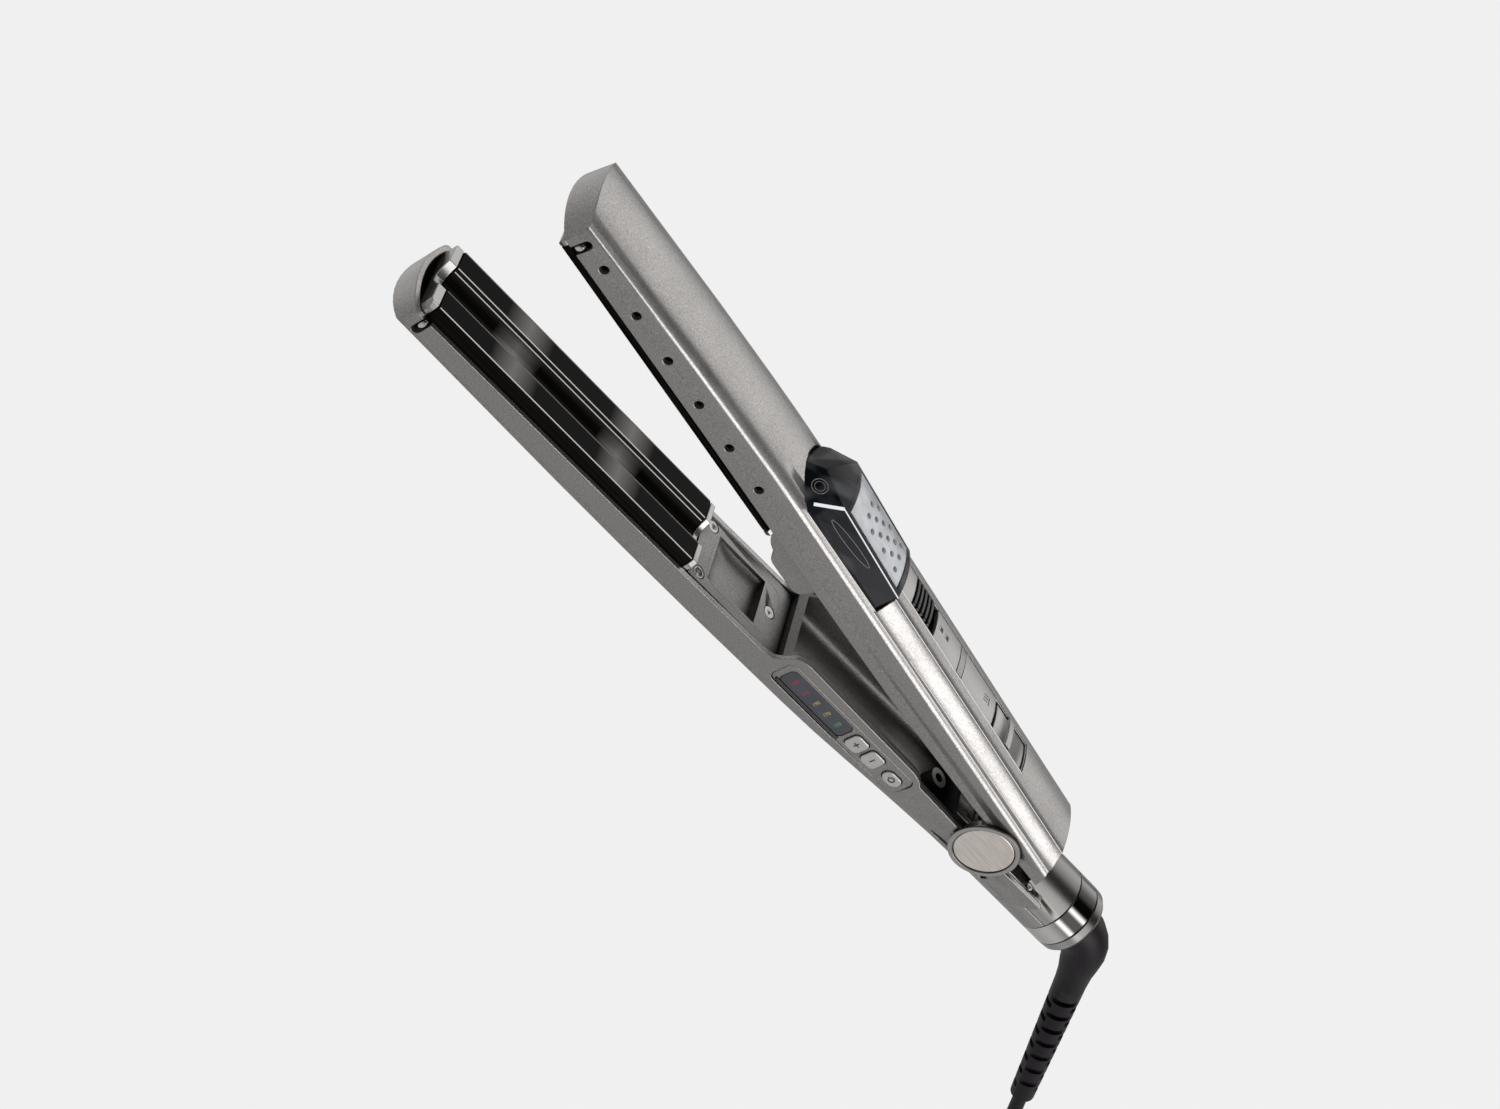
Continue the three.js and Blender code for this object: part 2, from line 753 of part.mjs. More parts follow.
// ---- upper arm, drawn closed ----
const UPPER_RIM = [
  [-266, 1.7],
  [-183, 2.6],
  [-100, 2.9],
  [-70, 3.3],
  [-40, 4.5],
  [-20, 5.3],
  [20.7, 8],
  [40, 9.3],
];

// The back falls away towards the tip; the shoulder drops a little towards the tail.
const warpUpper = (p) => {
  if (p.z < 6) return;
  p.z -= 0.0038 * Math.max(0, -150 - p.x) ** 1.5;
  p.z -= 0.008 * Math.max(0, p.x + 109);
};
const upperSection = (inset) =>
  mirrored((path) => {
    const edge = 15.3 - inset;
    path.moveTo(HALF_WIDTH - inset, -10);
    path.lineTo(HALF_WIDTH - inset, 4);
    path.lineTo(edge, 13.2 - inset);
    path.quadraticCurveTo(edge - 0.05, 13.9 - inset, edge - 0.7, 14.3 - inset);
    path.quadraticCurveTo(12.2 - inset, 17.2 - inset, 0, 17.6 - inset);
  });
const upperBody = (inset, x1) =>
  prismX(upperSection(inset), TIP_X - 1, x1, 20, warpUpper).intersect(
    prismZ(planOutline(inset), -60, 60),
  );

// Raised rear part: steep facets up to a crowned top that falls gently towards the tail.
const warpHump = (p) => {
  if (p.z > 17) p.z -= 0.014 * (p.x + 44);
};
const humpSection = (inset) =>
  mirrored((path) => {
    const half = HUMP_HALF - inset * 0.7;
    const foot = 14 - inset * 1.1;
    path.moveTo(foot, 12);
    path.lineTo(foot, 15.6 - inset * 0.3);
    path.lineTo(half, HUMP_TOP - inset);
    path.quadraticCurveTo(half / 2, CROWN_TOP - inset, 0, CROWN_TOP - inset);
  });
const hump = (inset, x0, x1) => prismX(humpSection(inset), x0, x1, 6, warpHump);

// Water tank: smoked body with a clear crowned window, a filler plug and an outlet valve below.
const tankProfile = (inset) => [
  [TANK_FRONT + inset, TANK_BASE + inset],
  [TANK_FRONT + inset, TANK_BASE + 2.2 + inset * 0.4],
  [-138 + inset * 0.6, 24.5 - inset],
  [-136.8 + inset * 0.6, 25.4 - inset],
  [-134, 26 - inset],
  [TANK_REAR + 0.2 - inset, 24.4 - inset],
  [TANK_REAR - 0.7 - inset, TANK_BASE + inset],
];
const tankSlope = (p) => {
  if (p.z > 18) p.z -= 0.05 * (p.x + 138);
};
const tankSection = (inset) =>
  mirrored((path) => {
    const half = HUMP_HALF - inset;
    const top = 24.2 - inset;
    path.moveTo(13.4 - inset, TANK_BASE + inset);
    path.lineTo(half, top);
    path.quadraticCurveTo(half / 2, top + 1.5, 0, top + 1.5);
  });
const tankPlan = (inset) => {
  const shape = new THREE.Shape();
  shape.moveTo(-90, 20);
  shape.lineTo(-142, 20);
  shape.lineTo(-143 + inset, 13.4);
  shape.lineTo(-146.6 + inset, 11.8);
  shape.lineTo(-149.4 + inset, 9);
  shape.quadraticCurveTo(2 * (TANK_FRONT + inset) + 149.4, 0, -149.4 + inset, -9);
  shape.lineTo(-146.6 + inset, -11.8);
  shape.lineTo(-143 + inset, -13.4);
  shape.lineTo(-142, -20);
  shape.lineTo(-90, -20);
  return shape;
};
// Everything outside the plane through three points, moved in by an inset.
const beyondPlane = (points, inset) => {
  const [a, b, c] = points.map((point) => new THREE.Vector3(...point));
  const { normal } = new THREE.Plane().setFromCoplanarPoints(a, b, c);
  const turn = new THREE.Quaternion().setFromUnitVectors(new THREE.Vector3(0, 0, 1), normal);
  const start = a.addScaledVector(normal, -inset);
  return toSolid(
    new THREE.BoxGeometry(80, 80, 40)
      .translate(0, 0, 20)
      .applyQuaternion(turn)
      .translate(start.x, start.y, start.z),
  );
};
const PROW = {
  foot: [-151.8, 0, 15.8],
  corner: [-147.6, 12, 15.6],
  apex: [-138, 10.6, 24.7],
};
const mirrorY = ([x, y, z]) => [x, -y, z];
const prowCuts = (inset) => [
  beyondPlane([PROW.foot, PROW.apex, PROW.corner], inset),
  beyondPlane([PROW.foot, mirrorY(PROW.corner), mirrorY(PROW.apex)], inset),
];
const tankForm = (inset) =>
  prismX(tankSection(inset), TANK_FRONT - 2, TANK_REAR + 2, 4, tankSlope)
    .intersect(prismY(tankProfile(inset), -20, 20))
    .intersect(prismZ(tankPlan(inset), 0, 40))
    .subtract(join(...prowCuts(inset)));
const TAIL_LINE = [
  [22, 5.5],
  [TAIL_TOP_X, 21.5],
  [TAIL_TOP_X, 40],
  [80, 40],
  [80, 5.5],
];
const TUB = { x: -125.5, length: 39, half: 11.6, bottom: 7.2 };
const tubOutline = (grow) => roundRect(TUB.x, 0, TUB.length + 2 * grow, 2 * (TUB.half + grow), 3 + grow);
// One strip along the top holds the latch, the lamp and the steam slider between two thin rails.
const LABEL = { x0: TANK_REAR + 0.5, x1: -19.4, half: 5.9 };
const STRIP_HALF = 5.3;
const LATCH = { x0: -94.8, x1: -81, ribs: 5, pitch: 2.2 };
const LAMP = { x0: -65, x1: -62 };
const STEAM_SLOT = { x0: -40.8, x1: -20.1 };
const KNOB = { x0: -39, ridge: 7, ridgeWide: 2.8 };
const STEAM_HOLES = 6;
const STEAM_FIRST = -241.5;
const STEAM_STEP = 16.88;
const STEAM_R = 1.5;
const steamHole = (index) => {
  const x = STEAM_FIRST + index * STEAM_STEP;
  return { x, z: 8.16 + 0.007 * x };
};
const upperShell = () => {
  const tailCut = prismY(TAIL_LINE, -40, 40);
  const tailInside = prismY(
    TAIL_LINE.map(([x, z]) => [x - WALL, z]),
    -40,
    40,
  );
  const outside = cut(join(upperBody(0, 26), hump(0, TANK_REAR + GAP, 26)), tailCut);
  const inside = cut(
    join(upperBody(WALL, 26), hump(WALL, TANK_REAR + 1.2, 26)),
    tailInside,
    box(-300, TIP_FLOOR.x, -20, 20, 5.4, 40),
  );
  const holes = Array.from({ length: STEAM_HOLES }, (_, index) => {
    const { x, z } = steamHole(index);
    return rodY(STEAM_R, x, z, -30, 30, 14);
  });
  const tabs = [-1, 1].map((side) => {
    const [y0, y1] = side < 0 ? [-FIT, -FIT + 2.4] : [FIT - 2.4, FIT];
    const [w0, w1] = side < 0 ? [-14.9, -FIT + 2.4] : [FIT - 2.4, 14.9];
    return join(
      rodY(8.4, 0, 0, y0, y1, 40),
      box(-8, 8, y0, y1, 0, 11.6),
      box(-8, 8, w0, w1, 10.2, 12),
    );
  });
  const shell = cut(
    outside,
    inside,
    prismY(below(UPPER_RIM), -40, 40),
    ...holes,
    prismZ(tubOutline(GAP), 0, 30),
    prismZ(tankPlan(-GAP), TANK_BASE - GAP, 40).intersect(box(-170, TANK_REAR + GAP, -30, 30, 0, 50)),
    rodY(EAR_R + 0.5, 0, 0, -40, 40, 48),
    notch(2 + NOTCH.depth, false),
    box(TANK_REAR, LABEL.x1 + GAP, -LABEL.half - GAP, LABEL.half + GAP, 19.4, 30),
  );
  return cut(join(shell, ...tabs), rodY(PIN_R + GAP, 0, 0, -40, 40));
};
place(upperArm, "upper_shell", "paint", upperShell());

const LAND = RIDGE_TOP + GAP;
const upperPlateOutline = [
  [12.8, UPPER_PLATE_TOP],
  [12.8, 0.6],
  [PLATE_HALF, 0.3],
  [PLATE_HALF, -0.8],
  [12.6, LAND],
  ...waveAcross([
    [5.1, LAND],
    [4.3, LAND - 1.2],
    [3.2, LAND - 2.6],
    [1.1, LAND - 4],
  ]),
  [-12.6, LAND],
  [-PLATE_HALF, -0.8],
  [-PLATE_HALF, 0.3],
  [-12.8, 0.6],
  [-12.8, UPPER_PLATE_TOP],
];
// The sprung upper plate rests a little high at its rear end.
const restTilt = (p) => {
  if (p.z < -0.5) p.z += 0.008 * (p.x - PLATE_FRONT);
};
const upperPlateBar = (x0, x1) => prismX(upperPlateOutline, x0, x1, 1, restTilt);
const leadIn = [
  [-262, 0.8],
  [PLATE_FRONT - 3, 0.2],
  [PLATE_FRONT - 1.2, LAND - 0.2],
  [PLATE_FRONT + 6.8, -7.5],
  [PLATE_FRONT + 6.8, -12],
  [-262, -12],
];
place(
  upperArm,
  "upper_plate",
  "coating",
  upperPlateBar(PLATE_FRONT, PLATE_REAR).subtract(prismY(leadIn, -20, 20)),
);
place(
  upperArm,
  "upper_front_clip",
  "clip",
  clip(upperPlateOutline, PLATE_FRONT - GAP - CLIP_LONG, PLATE_FRONT - GAP).subtract(
    prismY(leadIn, -20, 20),
  ),
);
place(
  upperArm,
  "upper_rear_clip",
  "clip",
  upperPlateBar(PLATE_REAR + GAP, PLATE_REAR + GAP + CLIP_SHORT),
);
const upperTray = UPPER_PLATE_TOP + GAP;
place(
  upperArm,
  "upper_heater",
  "ceramic",
  box(HEATER.front, HEATER.rear, -HEATER.half, HEATER.half, upperTray, upperTray + 1.8),
);
place(
  upperArm,
  "upper_heater_tray",
  "heatproof",
  cut(
    box(PLATE_FRONT - 1, PLATE_REAR + 1, -12.6, 12.6, upperTray, upperTray + 3.2),
    box(
      HEATER.front - GAP,
      HEATER.rear + GAP,
      -HEATER.half - GAP,
      HEATER.half + GAP,
      upperTray - 1,
      upperTray + 1.8 + GAP,
    ),
  ),
);

// Steam manifold over the tray: a long channel with an outlet behind each steam hole.
const MANIFOLD = { x0: -246, x1: -152, half: 12, low: 5, high: 9.4 };
const manifold = () =>
  cut(
    join(
      box(MANIFOLD.x0, MANIFOLD.x1, -MANIFOLD.half, MANIFOLD.half, MANIFOLD.low, MANIFOLD.high),
      rodX(1.9, 0, MANIFOLD.high - 2, MANIFOLD.x1 - 1, MANIFOLD.x1 + 4, 20),
    ),
    box(MANIFOLD.x0 + 1.2, MANIFOLD.x1 - 1.2, -10.8, 10.8, MANIFOLD.low + 1, MANIFOLD.high - 1),
    rodX(1.1, 0, MANIFOLD.high - 2, MANIFOLD.x1 - 2, MANIFOLD.x1 + 6, 16),
    ...Array.from({ length: STEAM_HOLES }, (_, index) =>
      rodY(1, steamHole(index).x, steamHole(index).z, -20, 20, 12),
    ),
  );
place(upperArm, "steam_manifold", "steel", manifold());

// Inner cover under the upper handle, with the block that enters the lower arm's pocket.
const UNDER = { x0: PLATE_REAR + 2.6, x1: -11 };
const innerCover = () => {
  const slabLine = UPPER_RIM.filter(([x]) => x > -110 && x < -30);
  const outline = [
    [UNDER.x0, 3.1],
    ...slabLine.map(([x, z]) => [x, z + 0.3]),
    [UNDER.x1, 6.2],
    [UNDER.x1, 7.8],
    ...[...slabLine].reverse().map(([x, z]) => [x, z + 1.9]),
    [UNDER.x0, 4.7],
  ];
  const block = new THREE.Shape();
  block.moveTo(-136.4, 4);
  block.lineTo(-136.4, -0.6);
  block.quadraticCurveTo(-136, -3.4, -132.6, -4.6);
  block.lineTo(-129.6, -5.4);
  block.quadraticCurveTo(-128.4, -7.8, -125.6, -8);
  block.lineTo(-114.4, -8);
  block.quadraticCurveTo(-111.4, -7.6, -111, -4);
  block.lineTo(-110.6, 4);
  return join(
    prismY(outline, -FIT, FIT).subtract(rodY(EAR_R + 1, 0, 0, -40, 40)),
    prismY(block, -8.8, 8.8),
  ).intersect(upperBody(WALL + GAP, 26));
};
place(upperArm, "inner_cover", "paint", innerCover());

const WINDOW = { x0: -136, x1: TANK_REAR - 2.4, half: 8.9, depth: 1.2 };
const windowZone = (grow) =>
  box(
    WINDOW.x0 - grow,
    WINDOW.x1 + grow,
    -WINDOW.half - grow,
    WINDOW.half + grow,
    19.6,
    40,
  );
const PLUG = { x: -137, r: 4 };
const VALVE = { x: -112, r: 3 };
const tankTub = (inset) => prismZ(tubOutline(-inset), TUB.bottom + inset, 17.5 + inset);
const tankBody = () =>
  cut(
    join(tankForm(0), tankTub(0)),
    join(tankForm(1.4), tankTub(1.4)),
    windowZone(0),
    rodZ(PLUG.r - 1, PLUG.x, 0, 0, 12),
    rodZ(VALVE.r - 1, VALVE.x, 0, 0, 12),
  );
const tankWindow = () =>
  cut(tankForm(0).intersect(windowZone(-GAP)), tankForm(WINDOW.depth));
const water = new THREE.Group();
upperArm.add(water);
place(water, "tank_body", "smoke", tankBody());
place(water, "tank_window", "window", tankWindow());
place(
  water,
  "filler_plug",
  "rubber",
  join(
    rodZ(PLUG.r - 1 - GAP, PLUG.x, 0, TUB.bottom - 0.9, TUB.bottom + 2.4),
    rodZ(PLUG.r, PLUG.x, 0, TUB.bottom - 1.3, TUB.bottom - GAP),
  ),
);
place(
  water,
  "outlet_valve",
  "black",
  join(
    rodZ(VALVE.r - 1 - GAP, VALVE.x, 0, TUB.bottom - 0.9, TUB.bottom + 2.4),
    rodZ(VALVE.r, VALVE.x, 0, TUB.bottom - 1.3, TUB.bottom - GAP),
  ),
);

// Dosing pump and its pipe to the manifold.
place(
  upperArm,
  "steam_pump",
  "black",
  join(rodX(4.4, 0, 12.4, -98, -82, 28), rodX(2.4, 0, 12.4, -101, -97, 20)),
);
const pipePath = new THREE.CatmullRomCurve3(
  [
    [-101.5, 9.4],
    [-103, 12.6],
    [-104, 12.6],
    [-150, 12.6],
  ].map(([x, y]) => new THREE.Vector3(x, y, 11.6)),
);
const pipe = () => {
  const ring = new THREE.Shape();
  ring.absarc(0, 0, 0.5, 0, Math.PI * 2);
  return toSolid(
    new THREE.ExtrudeGeometry(ring, {
      steps: 16,
      curveSegments: 5,
      bevelEnabled: false,
      extrudePath: pipePath,
    }),
  );
};
place(upperArm, "steam_pipe", "rubber", pipe());
place(upperArm, "steam_board", "board", box(-78, -14, -9, 9, 9.6, 10.8));

// Tank latch, label panel, lamp and steam slider in the crowned top.
const crownTop = (drop, thick) =>
  cut(hump(drop, TANK_REAR, TAIL_TOP_X), hump(drop + thick, TANK_REAR - 1, TAIL_TOP_X + 1));
const stripBox = (x0, x1, grow = 0) =>
  box(x0 - grow, x1 + grow, -STRIP_HALF - grow, STRIP_HALF + grow, 10, 30);
const latch = () => {
  const start = LATCH.x0 + GAP;
  const end = start + LATCH.ribs * LATCH.pitch;
  const plate = crownTop(0.9, 1.2).intersect(stripBox(start, end));
  const ribs = Array.from({ length: LATCH.ribs }, (_, index) => {
    const x = start + index * LATCH.pitch;
    return crownTop(-0.3, 1.6).intersect(stripBox(x, x + LATCH.pitch / 2));
  });
  return join(plate, ...ribs);
};
place(upperArm, "tank_latch", "black", latch());

const labelPanel = () =>
  cut(
    crownTop(0.15, 1.4).intersect(box(LABEL.x0, LABEL.x1, -LABEL.half, LABEL.half, 18, 30)),
    stripBox(LATCH.x0, LATCH.x1, GAP),
    stripBox(LAMP.x0, LAMP.x1, GAP),
    stripBox(STEAM_SLOT.x0, STEAM_SLOT.x1, GAP),
  );
place(upperArm, "label_panel", "paint", labelPanel());
place(upperArm, "lamp_lens", "lamp", crownTop(0.1, 1.8).intersect(stripBox(LAMP.x0, LAMP.x1)));

const steamSlider = () => {
  const plate = crownTop(0.6, 1.4).intersect(stripBox(KNOB.x0, STEAM_SLOT.x1));
  const ridge = crownTop(-0.5, 2.2).intersect(
    stripBox(KNOB.x0 + KNOB.ridge, KNOB.x0 + KNOB.ridge + KNOB.ridgeWide),
  );
  return join(plate, ridge);
};
place(upperArm, "steam_slider", "key", steamSlider());

export default root;
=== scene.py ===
"""Looks of the steam hair crimper.

Finished skins over the CAD pieces, small details drawn as meshes, procedural materials, a plain studio
and the camera. Lengths are in metres; MM turns millimetres into them.
"""
import json
import math

import bmesh
import bpy
from mathutils import Matrix, Vector
from mathutils.bvhtree import BVHTree


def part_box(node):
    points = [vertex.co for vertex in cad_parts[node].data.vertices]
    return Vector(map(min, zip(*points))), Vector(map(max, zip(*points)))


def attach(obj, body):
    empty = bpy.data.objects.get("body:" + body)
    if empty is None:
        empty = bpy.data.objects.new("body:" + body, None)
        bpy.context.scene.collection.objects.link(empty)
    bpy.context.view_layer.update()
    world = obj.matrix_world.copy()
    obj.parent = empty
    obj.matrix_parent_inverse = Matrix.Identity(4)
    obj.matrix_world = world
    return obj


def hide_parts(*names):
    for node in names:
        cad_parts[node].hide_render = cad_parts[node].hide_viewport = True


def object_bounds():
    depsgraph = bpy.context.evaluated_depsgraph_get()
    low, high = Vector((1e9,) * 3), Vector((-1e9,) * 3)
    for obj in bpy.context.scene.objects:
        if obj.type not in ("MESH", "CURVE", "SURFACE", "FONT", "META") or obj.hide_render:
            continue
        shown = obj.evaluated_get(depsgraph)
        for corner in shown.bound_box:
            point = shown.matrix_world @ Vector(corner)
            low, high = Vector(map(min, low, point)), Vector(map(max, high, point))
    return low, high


MM = 0.001
WELD = 0.004 * MM  # points closer than this are one point
OPEN_ANGLE = math.radians(10.2)  # the upper arm stands open by this about the hinge axis

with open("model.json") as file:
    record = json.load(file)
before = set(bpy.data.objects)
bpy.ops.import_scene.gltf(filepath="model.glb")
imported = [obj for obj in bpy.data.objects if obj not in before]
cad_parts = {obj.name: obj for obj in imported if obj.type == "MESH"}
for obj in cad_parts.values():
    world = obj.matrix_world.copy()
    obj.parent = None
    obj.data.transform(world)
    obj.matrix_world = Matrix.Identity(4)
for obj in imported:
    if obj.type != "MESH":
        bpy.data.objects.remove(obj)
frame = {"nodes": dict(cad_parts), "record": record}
cad_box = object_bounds()
nodes = frame["nodes"]
record = frame["record"]
body_of_node = {n: b for b, members in record["behaviour"]["bodies"].items() for n in members}
slot_of_node = {s["node"]: s["material_slot"] for s in record["subparts"]}

pin_low, pin_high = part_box("hinge_pin")
MIDDLE_Y = (pin_low.y + pin_high.y) / 2
UPPER = Matrix.Rotation(OPEN_ANGLE, 4, "Y")  # closed upper arm -> where it rests
EYE = Vector((-492.62 * MM, MIDDLE_Y - 612.95 * MM, 484.50 * MM))  # where the camera stands


# ---- materials ----
class Shader:
    """A Principled material with short calls for the textures that feed it."""

    def __init__(self, name, color, roughness, metallic=0.0):
        self.material = bpy.data.materials.new(name)
        self.material.use_nodes = True
        self.tree = self.material.node_tree
        self.bsdf = self.tree.nodes["Principled BSDF"]
        self.bsdf.inputs["Base Color"].default_value = (*color, 1)
        self.bsdf.inputs["Roughness"].default_value = roughness
        self.bsdf.inputs["Metallic"].default_value = metallic
        self.color = color
        self.coords = self.tree.nodes.new("ShaderNodeTexCoord").outputs["Object"]

    def set(self, **values):
        """Sets the shader's own inputs, named with _ for a space."""
        for key, value in values.items():
            self.bsdf.inputs[key.replace("_", " ")].default_value = value
        return self

    def link(self, output, target):
        self.tree.links.new(output, target)

    def noise(self, scale, detail=2.0, stretch=(1, 1, 1)):
        """Cloudy noise with the given number of cells in a metre."""
        mapping = self.tree.nodes.new("ShaderNodeMapping")
        mapping.inputs["Scale"].default_value = stretch
        self.link(self.coords, mapping.inputs["Vector"])
        node = self.tree.nodes.new("ShaderNodeTexNoise")
        node.inputs["Scale"].default_value = scale
        node.inputs["Detail"].default_value = detail
        self.link(mapping.outputs["Vector"], node.inputs["Vector"])
        return node.outputs["Fac"]

    def ranged(self, value, low, high, from_low=0.3, from_high=0.7):
        """Maps a value's range onto low..high; the usual range of a noise by default."""
        node = self.tree.nodes.new("ShaderNodeMapRange")
        node.inputs["From Min"].default_value = from_low
        node.inputs["From Max"].default_value = from_high
        node.inputs["To Min"].default_value = low
        node.inputs["To Max"].default_value = high
        self.link(value, node.inputs["Value"])
        return node.outputs["Result"]

    def shade(self, value, amount):
        """Lightens and darkens the base colour by a share either way."""
        node = self.tree.nodes.new("ShaderNodeMix")
        node.data_type = "RGBA"
        node.inputs["A"].default_value = (*[c * (1 - amount) for c in self.color], 1)
        node.inputs["B"].default_value = (*[min(1, c * (1 + amount)) for c in self.color], 1)
        self.link(self.ranged(value, 0, 1), node.inputs["Factor"])
        self.link(node.outputs["Result"], self.bsdf.inputs["Base Color"])
        return self

    def rough(self, value, low, high):
        """Varies the roughness from low to high."""
        self.link(self.ranged(value, low, high), self.bsdf.inputs["Roughness"])
        return self

    def facing(self, direction, low, high):
        """0 to 1 as the surface turns towards a direction."""
        normal = self.tree.nodes.new("ShaderNodeNewGeometry")
        dot = self.tree.nodes.new("ShaderNodeVectorMath")
        dot.operation = "DOT_PRODUCT"
        dot.inputs[1].default_value = Vector(direction).normalized()
        self.link(normal.outputs["Normal"], dot.inputs[0])
        return self.ranged(dot.outputs["Value"], 0, 1, low, high)

    def along(self, axis, low, high):
        """0 to 1 as a coordinate goes from low to high."""
        split = self.tree.nodes.new("ShaderNodeSeparateXYZ")
        self.link(self.coords, split.inputs["Vector"])
        return self.ranged(split.outputs[axis], 0, 1, low, high)

    def combined(self, operation, first, second):
        """Two values added or multiplied together."""
        node = self.tree.nodes.new("ShaderNodeMath")
        node.operation = operation
        self.link(first, node.inputs[0])
        self.link(second, node.inputs[1])
        return node.outputs["Value"]

    def scaled(self, value, factor):
        """A value times a plain number."""
        node = self.tree.nodes.new("ShaderNodeMath")
        node.operation = "MULTIPLY"
        node.inputs[1].default_value = factor
        self.link(value, node.inputs[0])
        return node.outputs["Value"]

    def banded(self, direction, tones):
        """Painted reflections: bands of light and dark in the base colour of a polished piece, as the
        surface turns along a direction.
        """
        ramp = self.tree.nodes.new("ShaderNodeValToRGB")
        ramp.color_ramp.interpolation = "EASE"
        stops = ramp.color_ramp.elements
        while len(stops) < len(tones):
            stops.new(0.5)
        for stop, (place, tone) in zip(stops, tones):
            stop.position = place
            stop.color = (*[c * tone for c in self.color], 1)
        self.link(self.facing(direction, -1, 1), ramp.inputs["Fac"])
        self.link(ramp.outputs["Color"], self.bsdf.inputs["Base Color"])
        return self

    def painted_gap_shade(self, distance, depth=0.9):
        """Painted shade: darkens the colour inside gaps and hollows up to a distance across."""
        feed = self.bsdf.inputs["Base Color"].links[0].from_socket
        shade = self.tree.nodes.new("ShaderNodeAmbientOcclusion")
        shade.samples = 6
        shade.inputs["Distance"].default_value = distance
        mix = self.tree.nodes.new("ShaderNodeMix")
        mix.data_type = "RGBA"
        mix.blend_type = "MULTIPLY"
        mix.inputs["Factor"].default_value = depth
        self.link(feed, mix.inputs["A"])
        self.link(self.ranged(shade.outputs["AO"], 0, 1, 0.4, 0.92), mix.inputs["B"])
        self.link(mix.outputs["Result"], self.bsdf.inputs["Base Color"])
        return self

    def bump(self, value, depth, edge=0.0):
        """Surface relief in metres; edge rounds the corners that the light sees."""
        node = self.tree.nodes.new("ShaderNodeBump")
        node.inputs["Strength"].default_value = 1.0
        node.inputs["Distance"].default_value = depth
        self.link(value, node.inputs["Height"])
        if edge:
            bevel = self.tree.nodes.new("ShaderNodeBevel")
            bevel.samples = 6
            bevel.inputs["Radius"].default_value = edge
            self.link(bevel.outputs["Normal"], node.inputs["Normal"])
        self.link(node.outputs["Normal"], self.bsdf.inputs["Normal"])
        return self


def paint(name, color, metallic=0.85, roughness=0.3, grain=0.3, hollow=1.1 * MM, edge=0.45 * MM):
    """Metallic paint with a fine sparkle, and painted shade darkening its gaps up to the width of hollow.
    """
    shader = Shader(name, color, roughness, metallic)
    sparkle = shader.noise(2300, 3)
    cloud = shader.noise(60, 2)
    shader.shade(sparkle, grain)
    # painted shade in gaps and hollows
    shader.painted_gap_shade(hollow)
    shader.rough(cloud, roughness - 0.04, roughness + 0.05)
    return shader.bump(sparkle, 0.006 * MM, edge=edge)


def plate_coating():
    """Glossy black release coating."""
    shader = Shader("plate_coating", (0.0045, 0.0038, 0.0034), 0.16)
    shader.set(Specular_IOR_Level=0.03)
    shader.rough(shader.noise(45, 3), 0.12, 0.22)
    return shader.bump(shader.noise(900, 2, (0.05, 1, 1)), 0.002 * MM, edge=0.3 * MM)


def lower_plate_coating_and_painted_reflections():
    """The same coating where it lies open, with two soft painted reflections glowing across it."""
    shader = plate_coating()
    shader.material.name = "lower_plate_coating_and_painted_reflections"
    low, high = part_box("lower_plate")
    length = high.x - low.x
    half = 0.085 * length
    # Painted reflections: two soft bands of light added as a glow on the faces that look up.
    glow = None
    for share in (0.27, 0.68):
        middle = low.x + share * length
        rising = shader.along("X", middle - half, middle)
        falling = shader.along("X", middle + half, middle)
        hump = shader.combined("MULTIPLY", rising, falling)
        glow = hump if glow is None else shader.combined("ADD", glow, hump)
    glow = shader.combined("MULTIPLY", glow, shader.facing((0, -0.25, 1), 0.75, 1.0))
    strength = shader.scaled(glow, 0.17)
    shader.set(Emission_Color=(0.95, 0.91, 0.88, 1))
    shader.link(strength, shader.bsdf.inputs["Emission Strength"])
    return shader


def brushed(name, color, roughness, stretch):
    """Metal brushed one way: the noise is drawn out where stretch is small."""
    shader = Shader(name, color, roughness, 0.95)
    lines = shader.noise(2600, 4, stretch)
    shader.shade(lines, 0.1)
    shader.rough(lines, roughness - 0.06, roughness + 0.08)
    return shader.bump(lines, 0.01 * MM, edge=0.3 * MM)


def satin(name, color, roughness, metallic=1.0):
    """Smooth metal, from satin to polished by its roughness."""
    shader = Shader(name, color, roughness, metallic)
    fine = shader.noise(1500, 3)
    shader.shade(fine, 0.06)
    shader.rough(shader.noise(90, 2), roughness - 0.03, roughness + 0.04)
    return shader.bump(fine, 0.003 * MM, edge=0.4 * MM)


def plastic(name, color, roughness, grain=900, depth=0.006 * MM, coat=0.0):
    """Moulded plastic or rubber with a fine grain."""
    shader = Shader(name, color, roughness)
    shader.set(Coat_Weight=coat, Coat_Roughness=0.04)
    fine = shader.noise(grain, 3)
    shader.shade(shader.noise(120, 2), 0.12)
    shader.rough(fine, max(0.03, roughness - 0.05), roughness + 0.06)
    return shader.bump(fine, depth, edge=0.3 * MM)


def smoked_tank():
    """Smoked clear plastic: deep blue-black, with faint painted reflections glowing in streaks across it.
    """
    shader = Shader("smoked_tank", (0.006, 0.007, 0.011), 0.05)
    shader.set(Specular_IOR_Level=0.14, Emission_Color=(0.9, 0.92, 0.98, 1))
    # Painted reflections: faint streaks of light added as a glow.
    painted_streaks = shader.ranged(shader.noise(75, 1.5, (0.7, 1.6, 1.6)), 0, 0.045, 0.5, 0.66)
    shader.link(painted_streaks, shader.bsdf.inputs["Emission Strength"])
    return shader.bump(shader.noise(160, 1), 0.003 * MM, edge=1.0 * MM)


